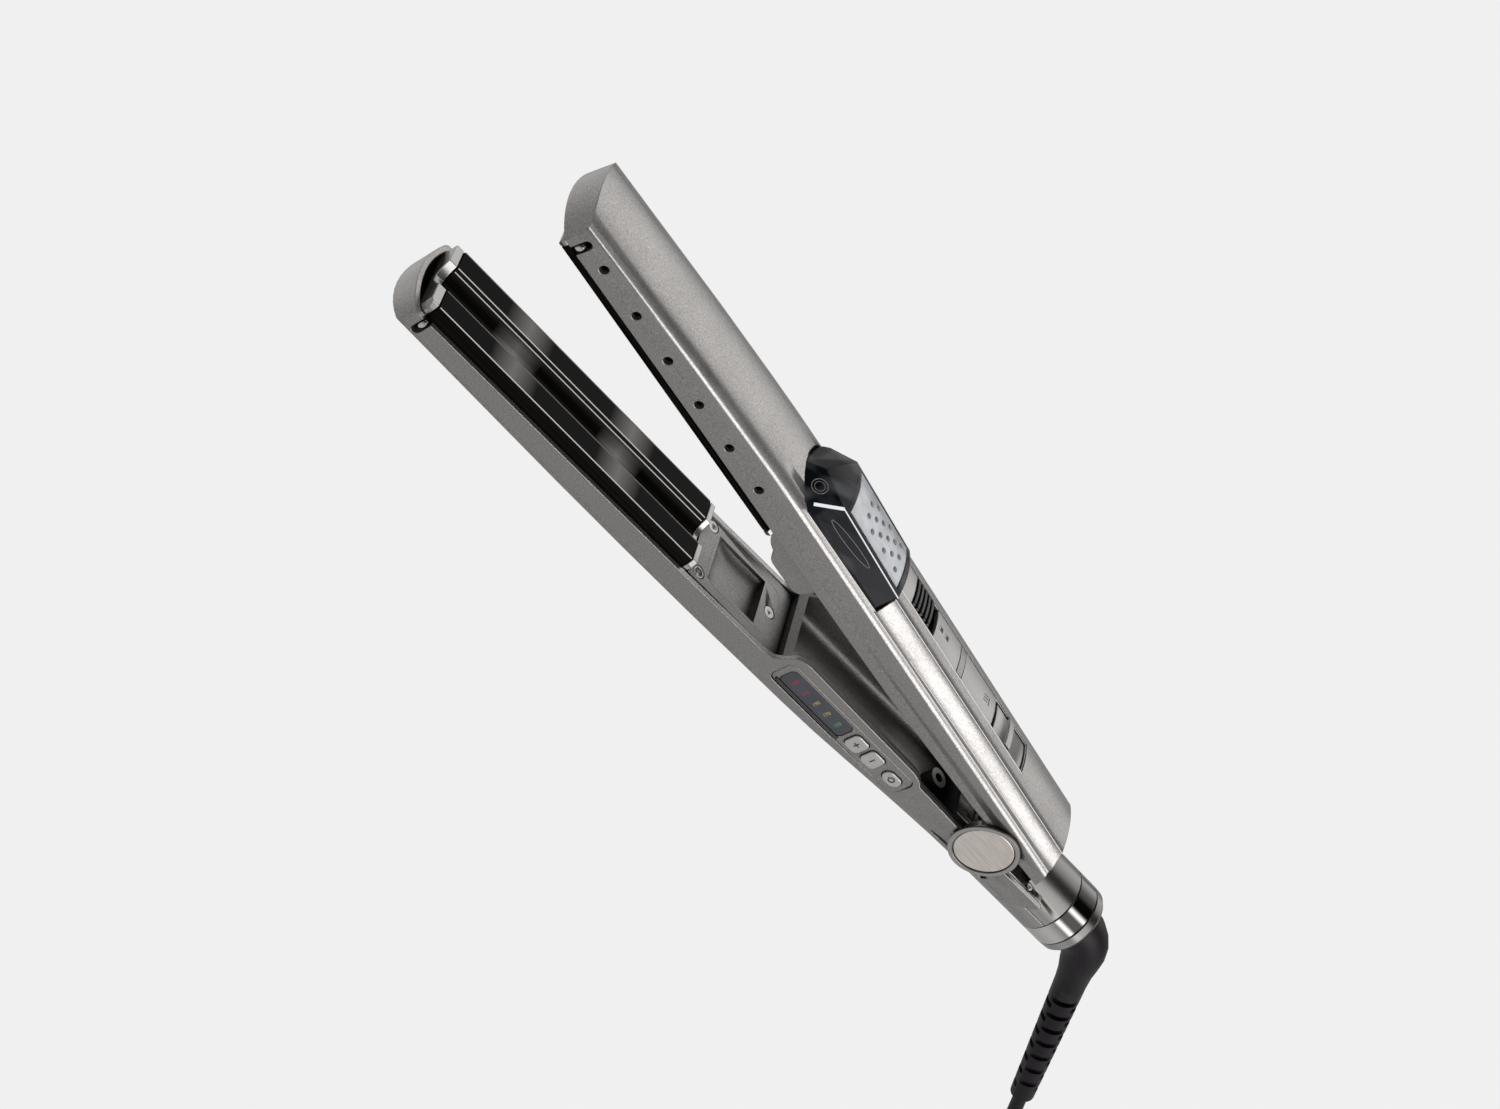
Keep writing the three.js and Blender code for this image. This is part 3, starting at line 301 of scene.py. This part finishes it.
def tank_window():
    """Clear textured plastic over pale water."""
    shader = Shader("tank_window", (0.56, 0.58, 0.62), 0.16)
    shader.set(Coat_Weight=0.7, Coat_Roughness=0.05)
    shader.shade(shader.noise(130, 3, (1, 1.6, 1)), 0.28)
    return shader.bump(shader.noise(420, 2), 0.012 * MM, edge=0.4 * MM)


def glowing(name, color, strength):
    """A lit number, or a painted highlight along an edge."""
    shader = Shader(name, [channel * 0.15 for channel in color], 0.4)
    shader.shade(shader.noise(2000, 1), 0.1)
    shader.set(Emission_Color=(*color, 1), Emission_Strength=strength)
    return shader


ROUND_THE_COLLAR = (0, 0.617, 0.787)  # across the collar as the camera sees it, low side to top
# Painted reflections: places from 0 to 1 round the visible half of the collar, each with the brightness
# painted into its colour.
CHROME_BANDS = [
    (0, 0.7), (0.18, 1), (0.34, 0.5), (0.42, 0.03), (0.52, 0.03), (0.58, 0.4), (0.66, 0.03),
    (0.82, 0.06), (1, 0.3),
]
SATIN_BANDS = [(0, 0.6), (0.2, 0.9), (0.36, 0.32), (0.46, 0.2), (0.6, 0.18), (0.8, 0.3), (0.95, 0.4)]

# Looks by material slot.
LOOKS = {
    "paint": paint("paint", (0.378, 0.364, 0.356)),
    "strip": paint("strip", (0.42, 0.41, 0.40), roughness=0.34, grain=0.1),
    "plate_coating": plate_coating(),
    "clip": satin("clip", (0.40, 0.395, 0.39), 0.24, 0.9),
    "ceramic": plastic("ceramic", (0.80, 0.78, 0.73), 0.5),
    "black_plastic": plastic("black_plastic", (0.012, 0.011, 0.013), 0.38),
    "steel": satin("steel", (0.45, 0.45, 0.45), 0.32),
    # satin_metal and chrome carry painted reflections: bands of light and dark in their colour round the
    # collar
    "satin_metal": satin("satin_metal", (0.62, 0.60, 0.585), 0.26).banded(ROUND_THE_COLLAR, SATIN_BANDS),
    "brushed_disc": brushed("brushed_disc", (0.95, 0.86, 0.80), 0.34, (0.07, 1, 0.75)),
    "chrome": satin("chrome", (0.88, 0.86, 0.84), 0.10).banded(ROUND_THE_COLLAR, CHROME_BANDS),
    "contact_brass": satin("contact_brass", (0.72, 0.52, 0.20), 0.28),
    "display": plastic("display", (0.070, 0.073, 0.092), 0.12),
    "board": plastic("board", (0.02, 0.12, 0.05), 0.45),
    "key": paint("key", (0.62, 0.60, 0.585), 0.6, 0.36, 0.05),
    "lamp": plastic("lamp", (0.30, 0.26, 0.26), 0.2, coat=0.6),
    "smoked_tank": smoked_tank(),
    "tank_window": tank_window(),
    "rubber": plastic("rubber", (0.0085, 0.006, 0.009), 0.42, 1400, 0.01 * MM),
}
DARK = plastic("dark_mark", (0.03, 0.03, 0.03), 0.5)
# Painted highlights: glowing colours for light caught along edges and ridges.
GLINT = glowing("glint", (0.86, 0.88, 0.92), 0.85)
DIM_GLINT = glowing("dim_glint", (0.60, 0.60, 0.62), 0.3)
PLATE_GLINT = glowing("plate_glint", (0.90, 0.88, 0.86), 0.46)
PLATE_DIM = glowing("plate_dim_glint", (0.60, 0.57, 0.54), 0.13)
EDGE_LIGHT = glowing("edge_light", (0.92, 0.91, 0.90), 0.8)
# Painted shade: the window dots are coloured darker than the window for the dark edges they show.
DOT = plastic("window_dot", (0.20, 0.21, 0.24), 0.2, coat=0.8)
LOOKS["rubber"].set(Specular_IOR_Level=0.22)
# Painted shade: a darker copy of the paint, also darkened across gaps up to 14 mm wide, for the deep
# pocket, the handle channel and the pieces laid in them.
SHADED_HOLLOW_PAINT = paint("shaded_hollow_paint", (0.27, 0.262, 0.257), roughness=0.42, hollow=14 * MM, edge=0)
SPECIAL_LOOKS = {
    "lower_plate": lower_plate_coating_and_painted_reflections(),
    "pocket_cover": SHADED_HOLLOW_PAINT,
    "channel_liner": SHADED_HOLLOW_PAINT,
}


# ---- finished skins over the CAD pieces ----
SHARP_ANGLE = math.radians(32)  # edges folded by more than this stay sharp


def skin(node, width):
    """A welded copy of a CAD piece with its flat facets merged, and its sharp edges rounded when width is
    not zero.
    """
    source = nodes[node]
    mesh = bpy.data.meshes.new(node + "_skin")
    work = bmesh.new()
    work.from_mesh(source.data)
    bmesh.ops.remove_doubles(work, verts=work.verts, dist=WELD)
    flat = math.radians(0.6)
    bmesh.ops.dissolve_limit(work, angle_limit=flat, verts=work.verts, edges=work.edges)
    for face in work.faces:
        face.smooth = True
    work.to_mesh(mesh)
    work.free()
    mesh.set_sharp_from_angle(angle=SHARP_ANGLE)
    piece = bpy.data.objects.new(node + "_skin", mesh)
    bpy.context.scene.collection.objects.link(piece)
    if width:
        bevel = piece.modifiers.new("rounded", "BEVEL")
        bevel.width = width
        bevel.segments = 2
        bevel.limit_method = "ANGLE"
        bevel.angle_limit = SHARP_ANGLE
        bevel.use_clamp_overlap = True
        bevel.harden_normals = True
    finish(piece, slot_of_node[node], body_of_node[node], SPECIAL_LOOKS.get(node))
    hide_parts(node)


def finish(piece, slot, body, shader=None):
    """Gives a piece its look and its body; the slot picks the look when no shader is given."""
    piece.data.materials.clear()
    piece.data.materials.append((shader or LOOKS[slot]).material)
    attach(piece, body)


# Pieces whose sharp edges are really rounded, by this width.
EDGE_WIDTHS = {
    "near_hinge_ring": 0.35 * MM,
    "far_hinge_ring": 0.35 * MM,
    "near_hinge_disc": 0.2 * MM,
    "far_hinge_disc": 0.2 * MM,
    "plus_button": 0.35 * MM,
    "minus_button": 0.35 * MM,
    "power_button": 0.35 * MM,
    "end_ring": 0.3 * MM,
    "chrome_ring": 0.25 * MM,
    "lower_plate": 0.2 * MM,
    "upper_plate": 0.2 * MM,
    "lower_front_clip": 0.3 * MM,
    "upper_front_clip": 0.3 * MM,
}
# Pieces that are cleaned up but keep the edges of their shape.
SHARP_ONLY = [
    "lower_shell", "upper_shell", "pocket_cover", "channel_liner", "inner_cover", "control_panel",
    "label_panel", "steam_slider", "tank_latch", "lamp_lens", "tank_body", "tank_window",
    "display_window", "lower_rear_clip", "upper_rear_clip", "collar_sleeve_upper",
    "collar_sleeve_lower", "tail_screw", "cover_screw_near", "cover_screw_far", "cover_screw_rear",
    "elbow_boot", "power_cord", "hinge_pin", "hinge_spring",
]
for node, width in EDGE_WIDTHS.items():
    skin(node, width)
for node in SHARP_ONLY:
    skin(node, 0)
for node, piece in nodes.items():
    piece.data.materials.clear()
    piece.data.materials.append(LOOKS[slot_of_node[node]].material)


# ---- small details ----
def mesh_piece(name, build, slot, body, shader=None):
    """A new piece whose mesh is drawn by build(bmesh)."""
    mesh = bpy.data.meshes.new(name)
    work = bmesh.new()
    build(work)
    for face in work.faces:
        face.smooth = True
    work.to_mesh(mesh)
    work.free()
    mesh.set_sharp_from_angle(angle=math.radians(40))
    piece = bpy.data.objects.new(name, mesh)
    bpy.context.scene.collection.objects.link(piece)
    finish(piece, slot, body, shader)
    return piece


def slab(work, matrix, size):
    """A small block of the given size, placed by a matrix."""
    bmesh.ops.create_cube(work, size=1, matrix=matrix @ Matrix.Diagonal((*size, 1)))


# On the near side, marks are read with the tips up: their right is +Z and their top is -X.
READ_NEAR = Matrix(((0, -1, 0, 0), (0, 0, -1, 0), (1, 0, 0, 0), (0, 0, 0, 1)))


def near_point(x, z, y):
    """A place on the near side where marks are drawn in the local XY plane."""
    return Matrix.Translation((x, y, z)) @ READ_NEAR


def display_numbers():
    """The five temperatures, hottest nearest the tips."""
    low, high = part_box("display_window")
    red, amber, green = (0.42, 0.05, 0.06), (0.62, 0.46, 0.10), (0.16, 0.42, 0.16)
    rows = [("230", red), ("210", red), ("190", amber), ("170", amber), ("150", green)]
    pitch = (high.x - low.x) / (len(rows) + 0.6)
    middle = (low.z + high.z) / 2
    for index, (text, color) in enumerate(rows):
        curve = bpy.data.curves.new("number_" + text, "FONT")
        curve.body = text
        curve.size = 1.9 * MM
        curve.extrude = 0.02 * MM
        curve.align_x = "CENTER"
        curve.align_y = "CENTER"
        font = bpy.data.objects.new("font_" + text, curve)
        bpy.context.scene.collection.objects.link(font)
        bpy.context.view_layer.update()
        mesh = bpy.data.meshes.new_from_object(font)
        bpy.data.objects.remove(font)
        piece = bpy.data.objects.new("number_" + text, mesh)
        bpy.context.scene.collection.objects.link(piece)
        x = low.x + pitch * (index + 0.8)
        piece.matrix_world = near_point(x, middle, low.y - 0.03 * MM)
        finish(piece, "display", "lower_arm", glowing("glow_" + text, color, 0.55))


def key_marks():
    """Plus, minus and power symbols on the three keys."""
    thick = 0.3 * MM
    rise = 0.16 * MM

    def bars(turns):
        def build(work):
            for turn in turns:
                slab(work, Matrix.Rotation(turn, 4, "Z"), (2.2 * MM, thick, rise))
        return build

    def ring(work):
        sides = 28
        for index in range(sides):
            angle = math.radians(125) + math.radians(290) * index / (sides - 1)
            place = Matrix.Rotation(angle, 4, "Z") @ Matrix.Translation((1.0 * MM, 0, 0))
            slab(work, place, (thick, 0.26 * MM, rise))
        slab(work, Matrix.Translation((0, 1.0 * MM, 0)), (thick, 1.1 * MM, rise))

    drawings = {
        "plus_button": bars([0, math.pi / 2]),
        "minus_button": bars([0]),
        "power_button": ring,
    }
    for node, build in drawings.items():
        low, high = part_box(node)
        mark = mesh_piece(node + "_mark", build, "key", body_of_node[node], DARK)
        centre = (low + high) / 2
        mark.matrix_world = near_point(centre.x, centre.z, low.y - 0.02 * MM)


def surface_tree(node):
    """A CAD piece's surface, ready for rays."""
    work = bmesh.new()
    work.from_mesh(nodes[node].data)
    tree = BVHTree.FromBMesh(work)
    work.free()
    return tree


def on_top(tree, x, y):
    """Point and normal on the upper arm's top, for a place given in the closed arm."""
    start = UPPER @ Vector((x, y, 60 * MM))
    down = UPPER.to_3x3() @ Vector((0, 0, -1))
    point, normal, _, _ = tree.ray_cast(start, down)
    return point, normal


def window_dots():
    """Staggered raised dots on the water window, coloured darker than the window for painted shade."""
    tree = surface_tree("tank_window")
    columns = 7
    first, step = -128.0 * MM, 3.9 * MM
    dot_radius, dot_height, sunk = 1.0 * MM, 0.6 * MM, 0.1 * MM

    def build(work):
        for column in range(columns):
            rows = (-5.2, 0, 5.2) if column % 2 else (-2.6, 2.6)
            for across in rows:
                point, normal = on_top(tree, first + column * step, MIDDLE_Y + across * MM)
                if point is None:
                    continue
                turn = normal.to_track_quat("Z", "Y").to_matrix().to_4x4()
                place = Matrix.Translation(point - normal * sunk) @ turn
                flat = Matrix.Diagonal((dot_radius, dot_radius, dot_height, 1))
                bmesh.ops.create_uvsphere(
                    work, u_segments=16, v_segments=10, radius=1, matrix=place @ flat
                )

    mesh_piece("tank_window_dots", build, "tank_window", "tank", DOT)


def capsule(work, matrix, length, radius, height):
    """A bean-shaped lug: a flattened rounded bar along local X."""
    bmesh.ops.create_uvsphere(
        work,
        u_segments=20,
        v_segments=12,
        radius=1,
        matrix=matrix @ Matrix.Diagonal((length / 2, radius, height, 1)),
    )


def notch_lugs():
    """Bright locating lugs in the notches beside the plates' front ends, on both sides."""
    half = (pin_high.y - pin_low.y) / 2
    lug_x, lower_z, upper_z = -250.2 * MM, -9.6 * MM, 4.1 * MM
    upright = Matrix.Rotation(math.pi / 2, 4, "Y")
    for side, where in ((-1, "near"), (1, "far")):
        y = MIDDLE_Y + side * (half - 0.6 * MM)

        def lower(work):
            place = Matrix.Translation((lug_x, y, lower_z)) @ upright
            capsule(work, place, 4.2 * MM, 0.9 * MM, 1.1 * MM)

        def upper(work):
            place = Matrix.Translation((lug_x, y, upper_z)) @ upright
            capsule(work, UPPER @ place, 3.6 * MM, 0.9 * MM, 1.1 * MM)

        mesh_piece(f"lower_lug_{where}", lower, "chrome", "lower_arm")
        mesh_piece(f"upper_lug_{where}", upper, "chrome", "upper_arm")


def strip_marks():
    """Lock and steam symbols printed on the top strip."""
    tree = surface_tree("label_panel")
    locks = (-77.5, -73.8)
    steam = -47.2
    wave_slant = 0.25

    def printed(work, x, across, length, width, turn=0.0):
        """A flat printed bar; places and sizes in millimetres along the closed arm."""
        point, normal = on_top(tree, x * MM, MIDDLE_Y + across * MM)
        if point is None:
            return
        place = Matrix.Translation(point) @ UPPER @ Matrix.Rotation(turn, 4, "Z")
        slab(work, place, (length * MM, width * MM, 0.06 * MM))

    def build(work):
        for x in locks:
            printed(work, x, 0, 1.3, 1.7)
            printed(work, x - 1.1, 0.6, 1.0, 0.25)
            printed(work, x - 1.1, -0.6, 1.0, 0.25)
        for across in (-1.1, 0, 1.1):
            printed(work, steam, across, 2.6, 0.3, wave_slant)
        printed(work, steam + 2, 0, 0.3, 3.2)

    mesh_piece("strip_symbols", build, "strip", "upper_arm", DARK)


def rod(work, start, end, radius, sides=6):
    """A thin round bar from one point to another."""
    line = end - start
    place = Matrix.Translation((start + end) / 2) @ line.to_track_quat("Z", "Y").to_matrix().to_4x4()
    bmesh.ops.create_cone(
        work, cap_ends=True, segments=sides, radius1=radius, radius2=radius, depth=line.length, matrix=place
    )


def hoop(work, matrix, radius, wire, turns=32):
    """A thin closed ring round local Z."""
    points = [
        matrix @ Vector((radius * math.cos(a), radius * math.sin(a), 0))
        for a in (2 * math.pi * step / turns for step in range(turns))
    ]
    for start, end in zip(points, points[1:] + points[:1]):
        rod(work, start, end, wire, 5)


def plate_glints():
    """Painted highlights along the edges of the lower plate's ridges: bright on the far ridge and the near
    side.
    """
    low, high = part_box("lower_plate")
    ends = (low.x + 0.4 * MM, high.x - 0.4 * MM)
    ridge, flank, outer = 5.4 * MM, 4.6 * MM, 12.9 * MM
    fall = 1.2 * MM

    def lines(places):
        def build(work):
            for across, down in places:
                start, end = (Vector((x, MIDDLE_Y + across, high.z - down)) for x in ends)
                rod(work, start, end, 0.17 * MM)
        return build

    bright = lines([(ridge, 0), (flank, fall), (-outer, 0)])
    dim = lines([(-ridge, 0), (-flank, fall), (outer, 0)])
    mesh_piece("lower_plate_edge_highlights", bright, "plate_coating", "lower_arm", PLATE_GLINT)
    mesh_piece("lower_plate_dim_edge_highlights", dim, "plate_coating", "lower_arm", PLATE_DIM)


def clean_copy(node):
    """The node's mesh with its flat facets merged, as a bmesh."""
    work = bmesh.new()
    work.from_mesh(nodes[node].data)
    bmesh.ops.remove_doubles(work, verts=work.verts, dist=WELD)
    nearly_flat = math.radians(2)
    bmesh.ops.dissolve_limit(work, angle_limit=nearly_flat, verts=work.verts, edges=work.edges)
    return work


def lit_lines(name, edges, radius, slot, body, shader):
    """Thin bright rods along edges given by their end points, drawn as painted highlights."""
    def build(work):
        for start, end in edges:
            rod(work, start, end, radius)

    mesh_piece(name, build, slot, body, shader)


def folded_edges(source, least_length, least_angle=14):
    """A clean mesh's edges that are long enough and clearly folded, by an angle in degrees."""
    return [
        edge
        for edge in source.edges
        if len(edge.link_faces) == 2
        and edge.calc_length() > least_length
        and edge.calc_face_angle() > math.radians(least_angle)
    ]


def ends_of(edge):
    """An edge's two end points."""
    return tuple(vert.co.copy() for vert in edge.verts)


def tank_glints():
    """Painted highlights along the tank's near upper edges, and a filler ring in its prow and an arc on its
    side, real marks drawn as faintly glowing lines of painted highlight.
    """
    source = clean_copy("tank_body")
    closed = UPPER.inverted()
    places = [closed @ v.co for v in source.verts]
    crest = max(place.z for place in places)
    half_way = (min(place.x for place in places) + max(place.x for place in places)) / 2
    shoulder = crest - 3.2 * MM
    level = 3 * MM  # an edge that rises less than this runs along the ridge
    ridges, slopes = [], []
    for edge in folded_edges(source, 2.5 * MM):
        a, b = (closed @ place for place in ends_of(edge))
        if (a.y + b.y) / 2 > MIDDLE_Y - 2 * MM or max(a.z, b.z) < shoulder:
            continue
        if abs(a.z - b.z) < level:
            ridges.append(edge)
        elif (a.x + b.x) / 2 < half_way:
            slopes.append(edge)

    def middle_y(edge):
        return sum(place.y for place in ends_of(edge)) / 2

    nearest = min(middle_y(edge) for edge in ridges)
    near_ridges = [ends_of(edge) for edge in ridges if middle_y(edge) < nearest + 1.3 * MM]
    slope = min(slopes, key=middle_y)
    lit_lines("tank_ridge_light", near_ridges, 0.22 * MM, "smoked_tank", "tank", GLINT)
    lit_lines("tank_prow_light", [ends_of(slope)], 0.5 * MM, "smoked_tank", "tank", GLINT)

    prow, side = sorted(slope.link_faces, key=lambda face: face.calc_center_median_weighted().x)

    def on_face(face, lift):
        """A place just above a face's middle, with local X along the arm and local Z outwards."""
        up = face.normal.normalized()
        along = (UPPER.to_3x3() @ Vector((1, 0, 0))).normalized()
        along = (along - up * along.dot(up)).normalized()
        turn = Matrix((along, up.cross(along), up)).transposed().to_4x4()
        return Matrix.Translation(face.calc_center_median_weighted() + up * lift) @ turn

    ring_place = on_face(prow, 0.05 * MM)
    arc_place = on_face(side, 0.02 * MM) @ Matrix.Translation((3 * MM, 0, 0))

    def filler(work):
        hoop(work, ring_place, 2.5 * MM, 0.14 * MM)
        hoop(work, ring_place, 1.6 * MM, 0.10 * MM)

    def arcs(work):
        slim = Matrix.Rotation(0.05, 4, "Z") @ Matrix.Diagonal((8, 0.9, 1, 1))
        hoop(work, arc_place @ slim, 1.3 * MM, 0.07 * MM)

    mesh_piece("tank_filler_ring", filler, "smoked_tank", "tank", PLATE_DIM)
    mesh_piece("tank_side_arcs", arcs, "smoked_tank", "tank", DIM_GLINT)
    source.free()


def seen_from_camera(start, end):
    """True where nothing solid of the upper shell stands between an edge's middle and the camera."""
    tree = surface_tree("upper_shell")
    middle = (start + end) / 2
    towards = (EYE - middle).normalized()
    return tree.ray_cast(middle + towards * 0.3 * MM, towards)[0] is None


def shell_edge_lights():
    """Painted highlights: bright lines along the upper shell's long near edges."""
    source = clean_copy("upper_shell")
    closed = UPPER.inverted()
    edges = []
    for start, end in map(ends_of, folded_edges(source, 25 * MM, 20)):
        a, b = closed @ start, closed @ end
        near_side = (a.y + b.y) / 2 < MIDDLE_Y - 6 * MM
        if near_side and min(a.z, b.z) > 4 * MM and seen_from_camera(start, end):
            edges.append((start, end))
    source.free()
    lit_lines("upper_shell_edge_lights", edges, 0.13 * MM, "paint", "upper_arm", EDGE_LIGHT)


def pocket_dish():
    """A smooth dished floor with rounded corners over the cover's square pocket."""
    tree = surface_tree("pocket_cover")
    low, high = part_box("pocket_cover")
    step, deep = 0.1 * MM, 2 * MM
    margin, lap = 2 * MM, 1.3 * MM  # kept clear at the cover's ends; how far the rim laps the cover

    def height(x, y):
        point = tree.ray_cast(Vector((x, y, high.z + 5 * MM)), Vector((0, 0, -1)))[0]
        return point.z if point else low.z

    def deep_run(start, end, at):
        """The places from start to end where the surface lies deep in the pocket."""
        count = int((end - start) / step)
        places = [start + step * index for index in range(count)]
        return [place for place in places if at(place) < high.z - deep]

    xs = deep_run(low.x + margin, high.x - margin, lambda x: height(x, MIDDLE_Y))
    if not xs:
        return
    middle_x = (xs[0] + xs[-1]) / 2
    ys = deep_run(low.y + margin, high.y - margin, lambda y: height(middle_x, y))
    top = height(xs[0] - 1 * MM, MIDDLE_Y) + 0.04 * MM
    half_x = (xs[-1] - xs[0]) / 2 + lap
    half_y = (ys[-1] - ys[0]) / 2 + lap
    centre_y = (ys[0] + ys[-1]) / 2
    depth = 3.6 * MM
    rings, sides, squareness = 16, 72, 6

    def build(work):
        centre = work.verts.new((middle_x, centre_y, top - depth))
        previous = None
        for ring in range(1, rings + 1):
            share = ring / rings
            row = []
            for side in range(sides):
                angle = 2 * math.pi * side / sides
                spread = abs(math.cos(angle)) ** squareness + abs(math.sin(angle)) ** squareness
                reach = spread ** (-1 / squareness)
                x = middle_x + half_x * share * reach * math.cos(angle)
                y = centre_y + half_y * share * reach * math.sin(angle)
                row.append(work.verts.new((x, y, top - depth * (1 - share ** 4))))
            for side in range(sides):
                follow = (side + 1) % sides
                if previous:
                    work.faces.new((previous[side], row[side], row[follow], previous[follow]))
                else:
                    work.faces.new((centre, row[side], row[follow]))
            previous = row

    # in the darker paint with painted shade of the hollow
    mesh_piece("pocket_dish", build, "paint", "lower_arm", SHADED_HOLLOW_PAINT)


def board_cover():
    """A thin wall between the display board and the handle channel, in the darker paint with painted shade.
    """
    low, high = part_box("display_board")
    centre = (low + high) / 2
    size = (high.x - low.x + 1.5 * MM, 0.35 * MM, high.z - low.z + 1 * MM)

    def build(work):
        slab(work, Matrix.Translation((centre.x, high.y + 0.25 * MM, centre.z)), size)

    mesh_piece("display_board_cover", build, "paint", "lower_arm", SHADED_HOLLOW_PAINT)


def display_lip():
    """A dark rounded rod under the display: the display window's lower bevel, with its dark reflection
    painted in as black.
    """
    low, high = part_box("display_window")

    def build(work):
        y, z = low.y - 0.2 * MM, low.z - 0.3 * MM
        start = Vector((low.x - 0.6 * MM, y, z))
        end = Vector((high.x + 0.2 * MM, y, z))
        rod(work, start, end, 0.5 * MM, 12)

    mesh_piece("display_lip", build, "black_plastic", "lower_arm")


display_numbers()
display_lip()
board_cover()
plate_glints()
tank_glints()
shell_edge_lights()
pocket_dish()
key_marks()
window_dots()
notch_lugs()
strip_marks()


# ---- floor, light and camera ----
def floor():
    """A pale paper floor that only the camera sees."""
    mesh = bpy.data.meshes.new("floor")
    work = bmesh.new()
    bmesh.ops.create_grid(work, x_segments=1, y_segments=1, size=6)
    work.to_mesh(mesh)
    work.free()
    plane = bpy.data.objects.new("floor", mesh)
    bpy.context.scene.collection.objects.link(plane)
    plane.location.z = cad_box[0].z - 60 * MM
    plane.visible_glossy = False
    plane.visible_diffuse = False
    material = bpy.data.materials.new("floor_paper")
    material.use_nodes = True
    tree = material.node_tree
    tree.nodes.clear()
    output = tree.nodes.new("ShaderNodeOutputMaterial")
    mix = tree.nodes.new("ShaderNodeMixShader")
    paper = tree.nodes.new("ShaderNodeBsdfDiffuse")
    paper.inputs["Color"].default_value = (0.86, 0.86, 0.86, 1)
    glow = tree.nodes.new("ShaderNodeEmission")
    glow.inputs["Color"].default_value = (0.883, 0.883, 0.883, 1)
    mix.inputs["Fac"].default_value = 0.97
    tree.links.new(paper.outputs["BSDF"], mix.inputs[1])
    tree.links.new(glow.outputs["Emission"], mix.inputs[2])
    tree.links.new(mix.outputs["Shader"], output.inputs["Surface"])
    mesh.materials.append(material)


# Soft boxes of the studio: direction, half angle and softness in degrees, brightness.
SOFT_BOXES = [
    ((0.60, -0.69, 0.41), 25, 7, 3.2),
    ((0.50, 0.62, 0.58), 23, 12, 1.15),
    ((-0.75, -0.25, 0.60), 24, 16, 0.6),
    ((-0.35, 0.90, 0.25), 24, 16, 0.5),
    ((-0.43, 0.71, -0.56), 24, 14, 0.35),
]
GROUND, HORIZON, ZENITH = 0.42, 0.20, 0.06


def studio():
    """Soft boxes round the object for its reflections, and plain paper white behind it."""
    world = bpy.data.worlds.new("studio")
    bpy.context.scene.world = world
    world.use_nodes = True
    tree = world.node_tree
    tree.nodes.clear()

    def math_node(operation, first, second=None):
        node = tree.nodes.new("ShaderNodeMath")
        node.operation = operation
        for slot, value in enumerate((first, second)):
            if value is None:
                continue
            if isinstance(value, (int, float)):
                node.inputs[slot].default_value = value
            else:
                tree.links.new(value, node.inputs[slot])
        return node.outputs["Value"]

    def ramp(value, low, high, to_low, to_high):
        node = tree.nodes.new("ShaderNodeMapRange")
        node.interpolation_type = "SMOOTHSTEP"
        for name, number in zip(("From Min", "From Max", "To Min", "To Max"), (low, high, to_low, to_high)):
            node.inputs[name].default_value = number
        tree.links.new(value, node.inputs["Value"])
        return node.outputs["Result"]

    direction = tree.nodes.new("ShaderNodeTexCoord").outputs["Generated"]
    split = tree.nodes.new("ShaderNodeSeparateXYZ")
    tree.links.new(direction, split.inputs["Vector"])
    light = ramp(split.outputs["Z"], -0.2, 0.1, GROUND, HORIZON)
    light = math_node("ADD", light, ramp(split.outputs["Z"], 0.4, 0.85, 0, ZENITH - HORIZON))
    for aim, half, soft, brightness in SOFT_BOXES:
        dot = tree.nodes.new("ShaderNodeVectorMath")
        dot.operation = "DOT_PRODUCT"
        dot.inputs[1].default_value = Vector(aim).normalized()
        tree.links.new(direction, dot.inputs[0])
        outer = math.cos(math.radians(half + soft))
        inner = math.cos(math.radians(max(half - soft, 1)))
        light = math_node("ADD", light, ramp(dot.outputs["Value"], outer, inner, 0, brightness))
    background = tree.nodes.new("ShaderNodeBackground")
    background.inputs["Color"].default_value = (1, 0.995, 0.987, 1)
    tree.links.new(light, background.inputs["Strength"])
    plain = tree.nodes.new("ShaderNodeBackground")
    plain.inputs["Color"].default_value = (0.883, 0.883, 0.883, 1)
    mix = tree.nodes.new("ShaderNodeMixShader")
    tree.links.new(tree.nodes.new("ShaderNodeLightPath").outputs["Is Camera Ray"], mix.inputs["Fac"])
    tree.links.new(background.outputs["Background"], mix.inputs[1])
    tree.links.new(plain.outputs["Background"], mix.inputs[2])
    output = tree.nodes.new("ShaderNodeOutputWorld")
    tree.links.new(mix.outputs["Shader"], output.inputs["Surface"])


def camera():
    """The camera stands at EYE, turned by its own right and up directions."""
    right = Vector((0.63557, 0.20392, 0.74462))
    up = Vector((-0.64404, 0.67191, 0.36571))
    back = right.cross(up)
    data = bpy.data.cameras.new("camera")
    data.sensor_width = 36
    data.lens = 68.69
    data.clip_start = 0.01
    eye = bpy.data.objects.new("camera", data)
    bpy.context.scene.collection.objects.link(eye)
    turn = Matrix((right, up, back)).transposed().to_4x4()
    eye.matrix_world = Matrix.Translation(EYE) @ turn
    bpy.context.scene.camera = eye


floor()
studio()
camera()
bpy.context.scene.view_settings.view_transform = "Standard"
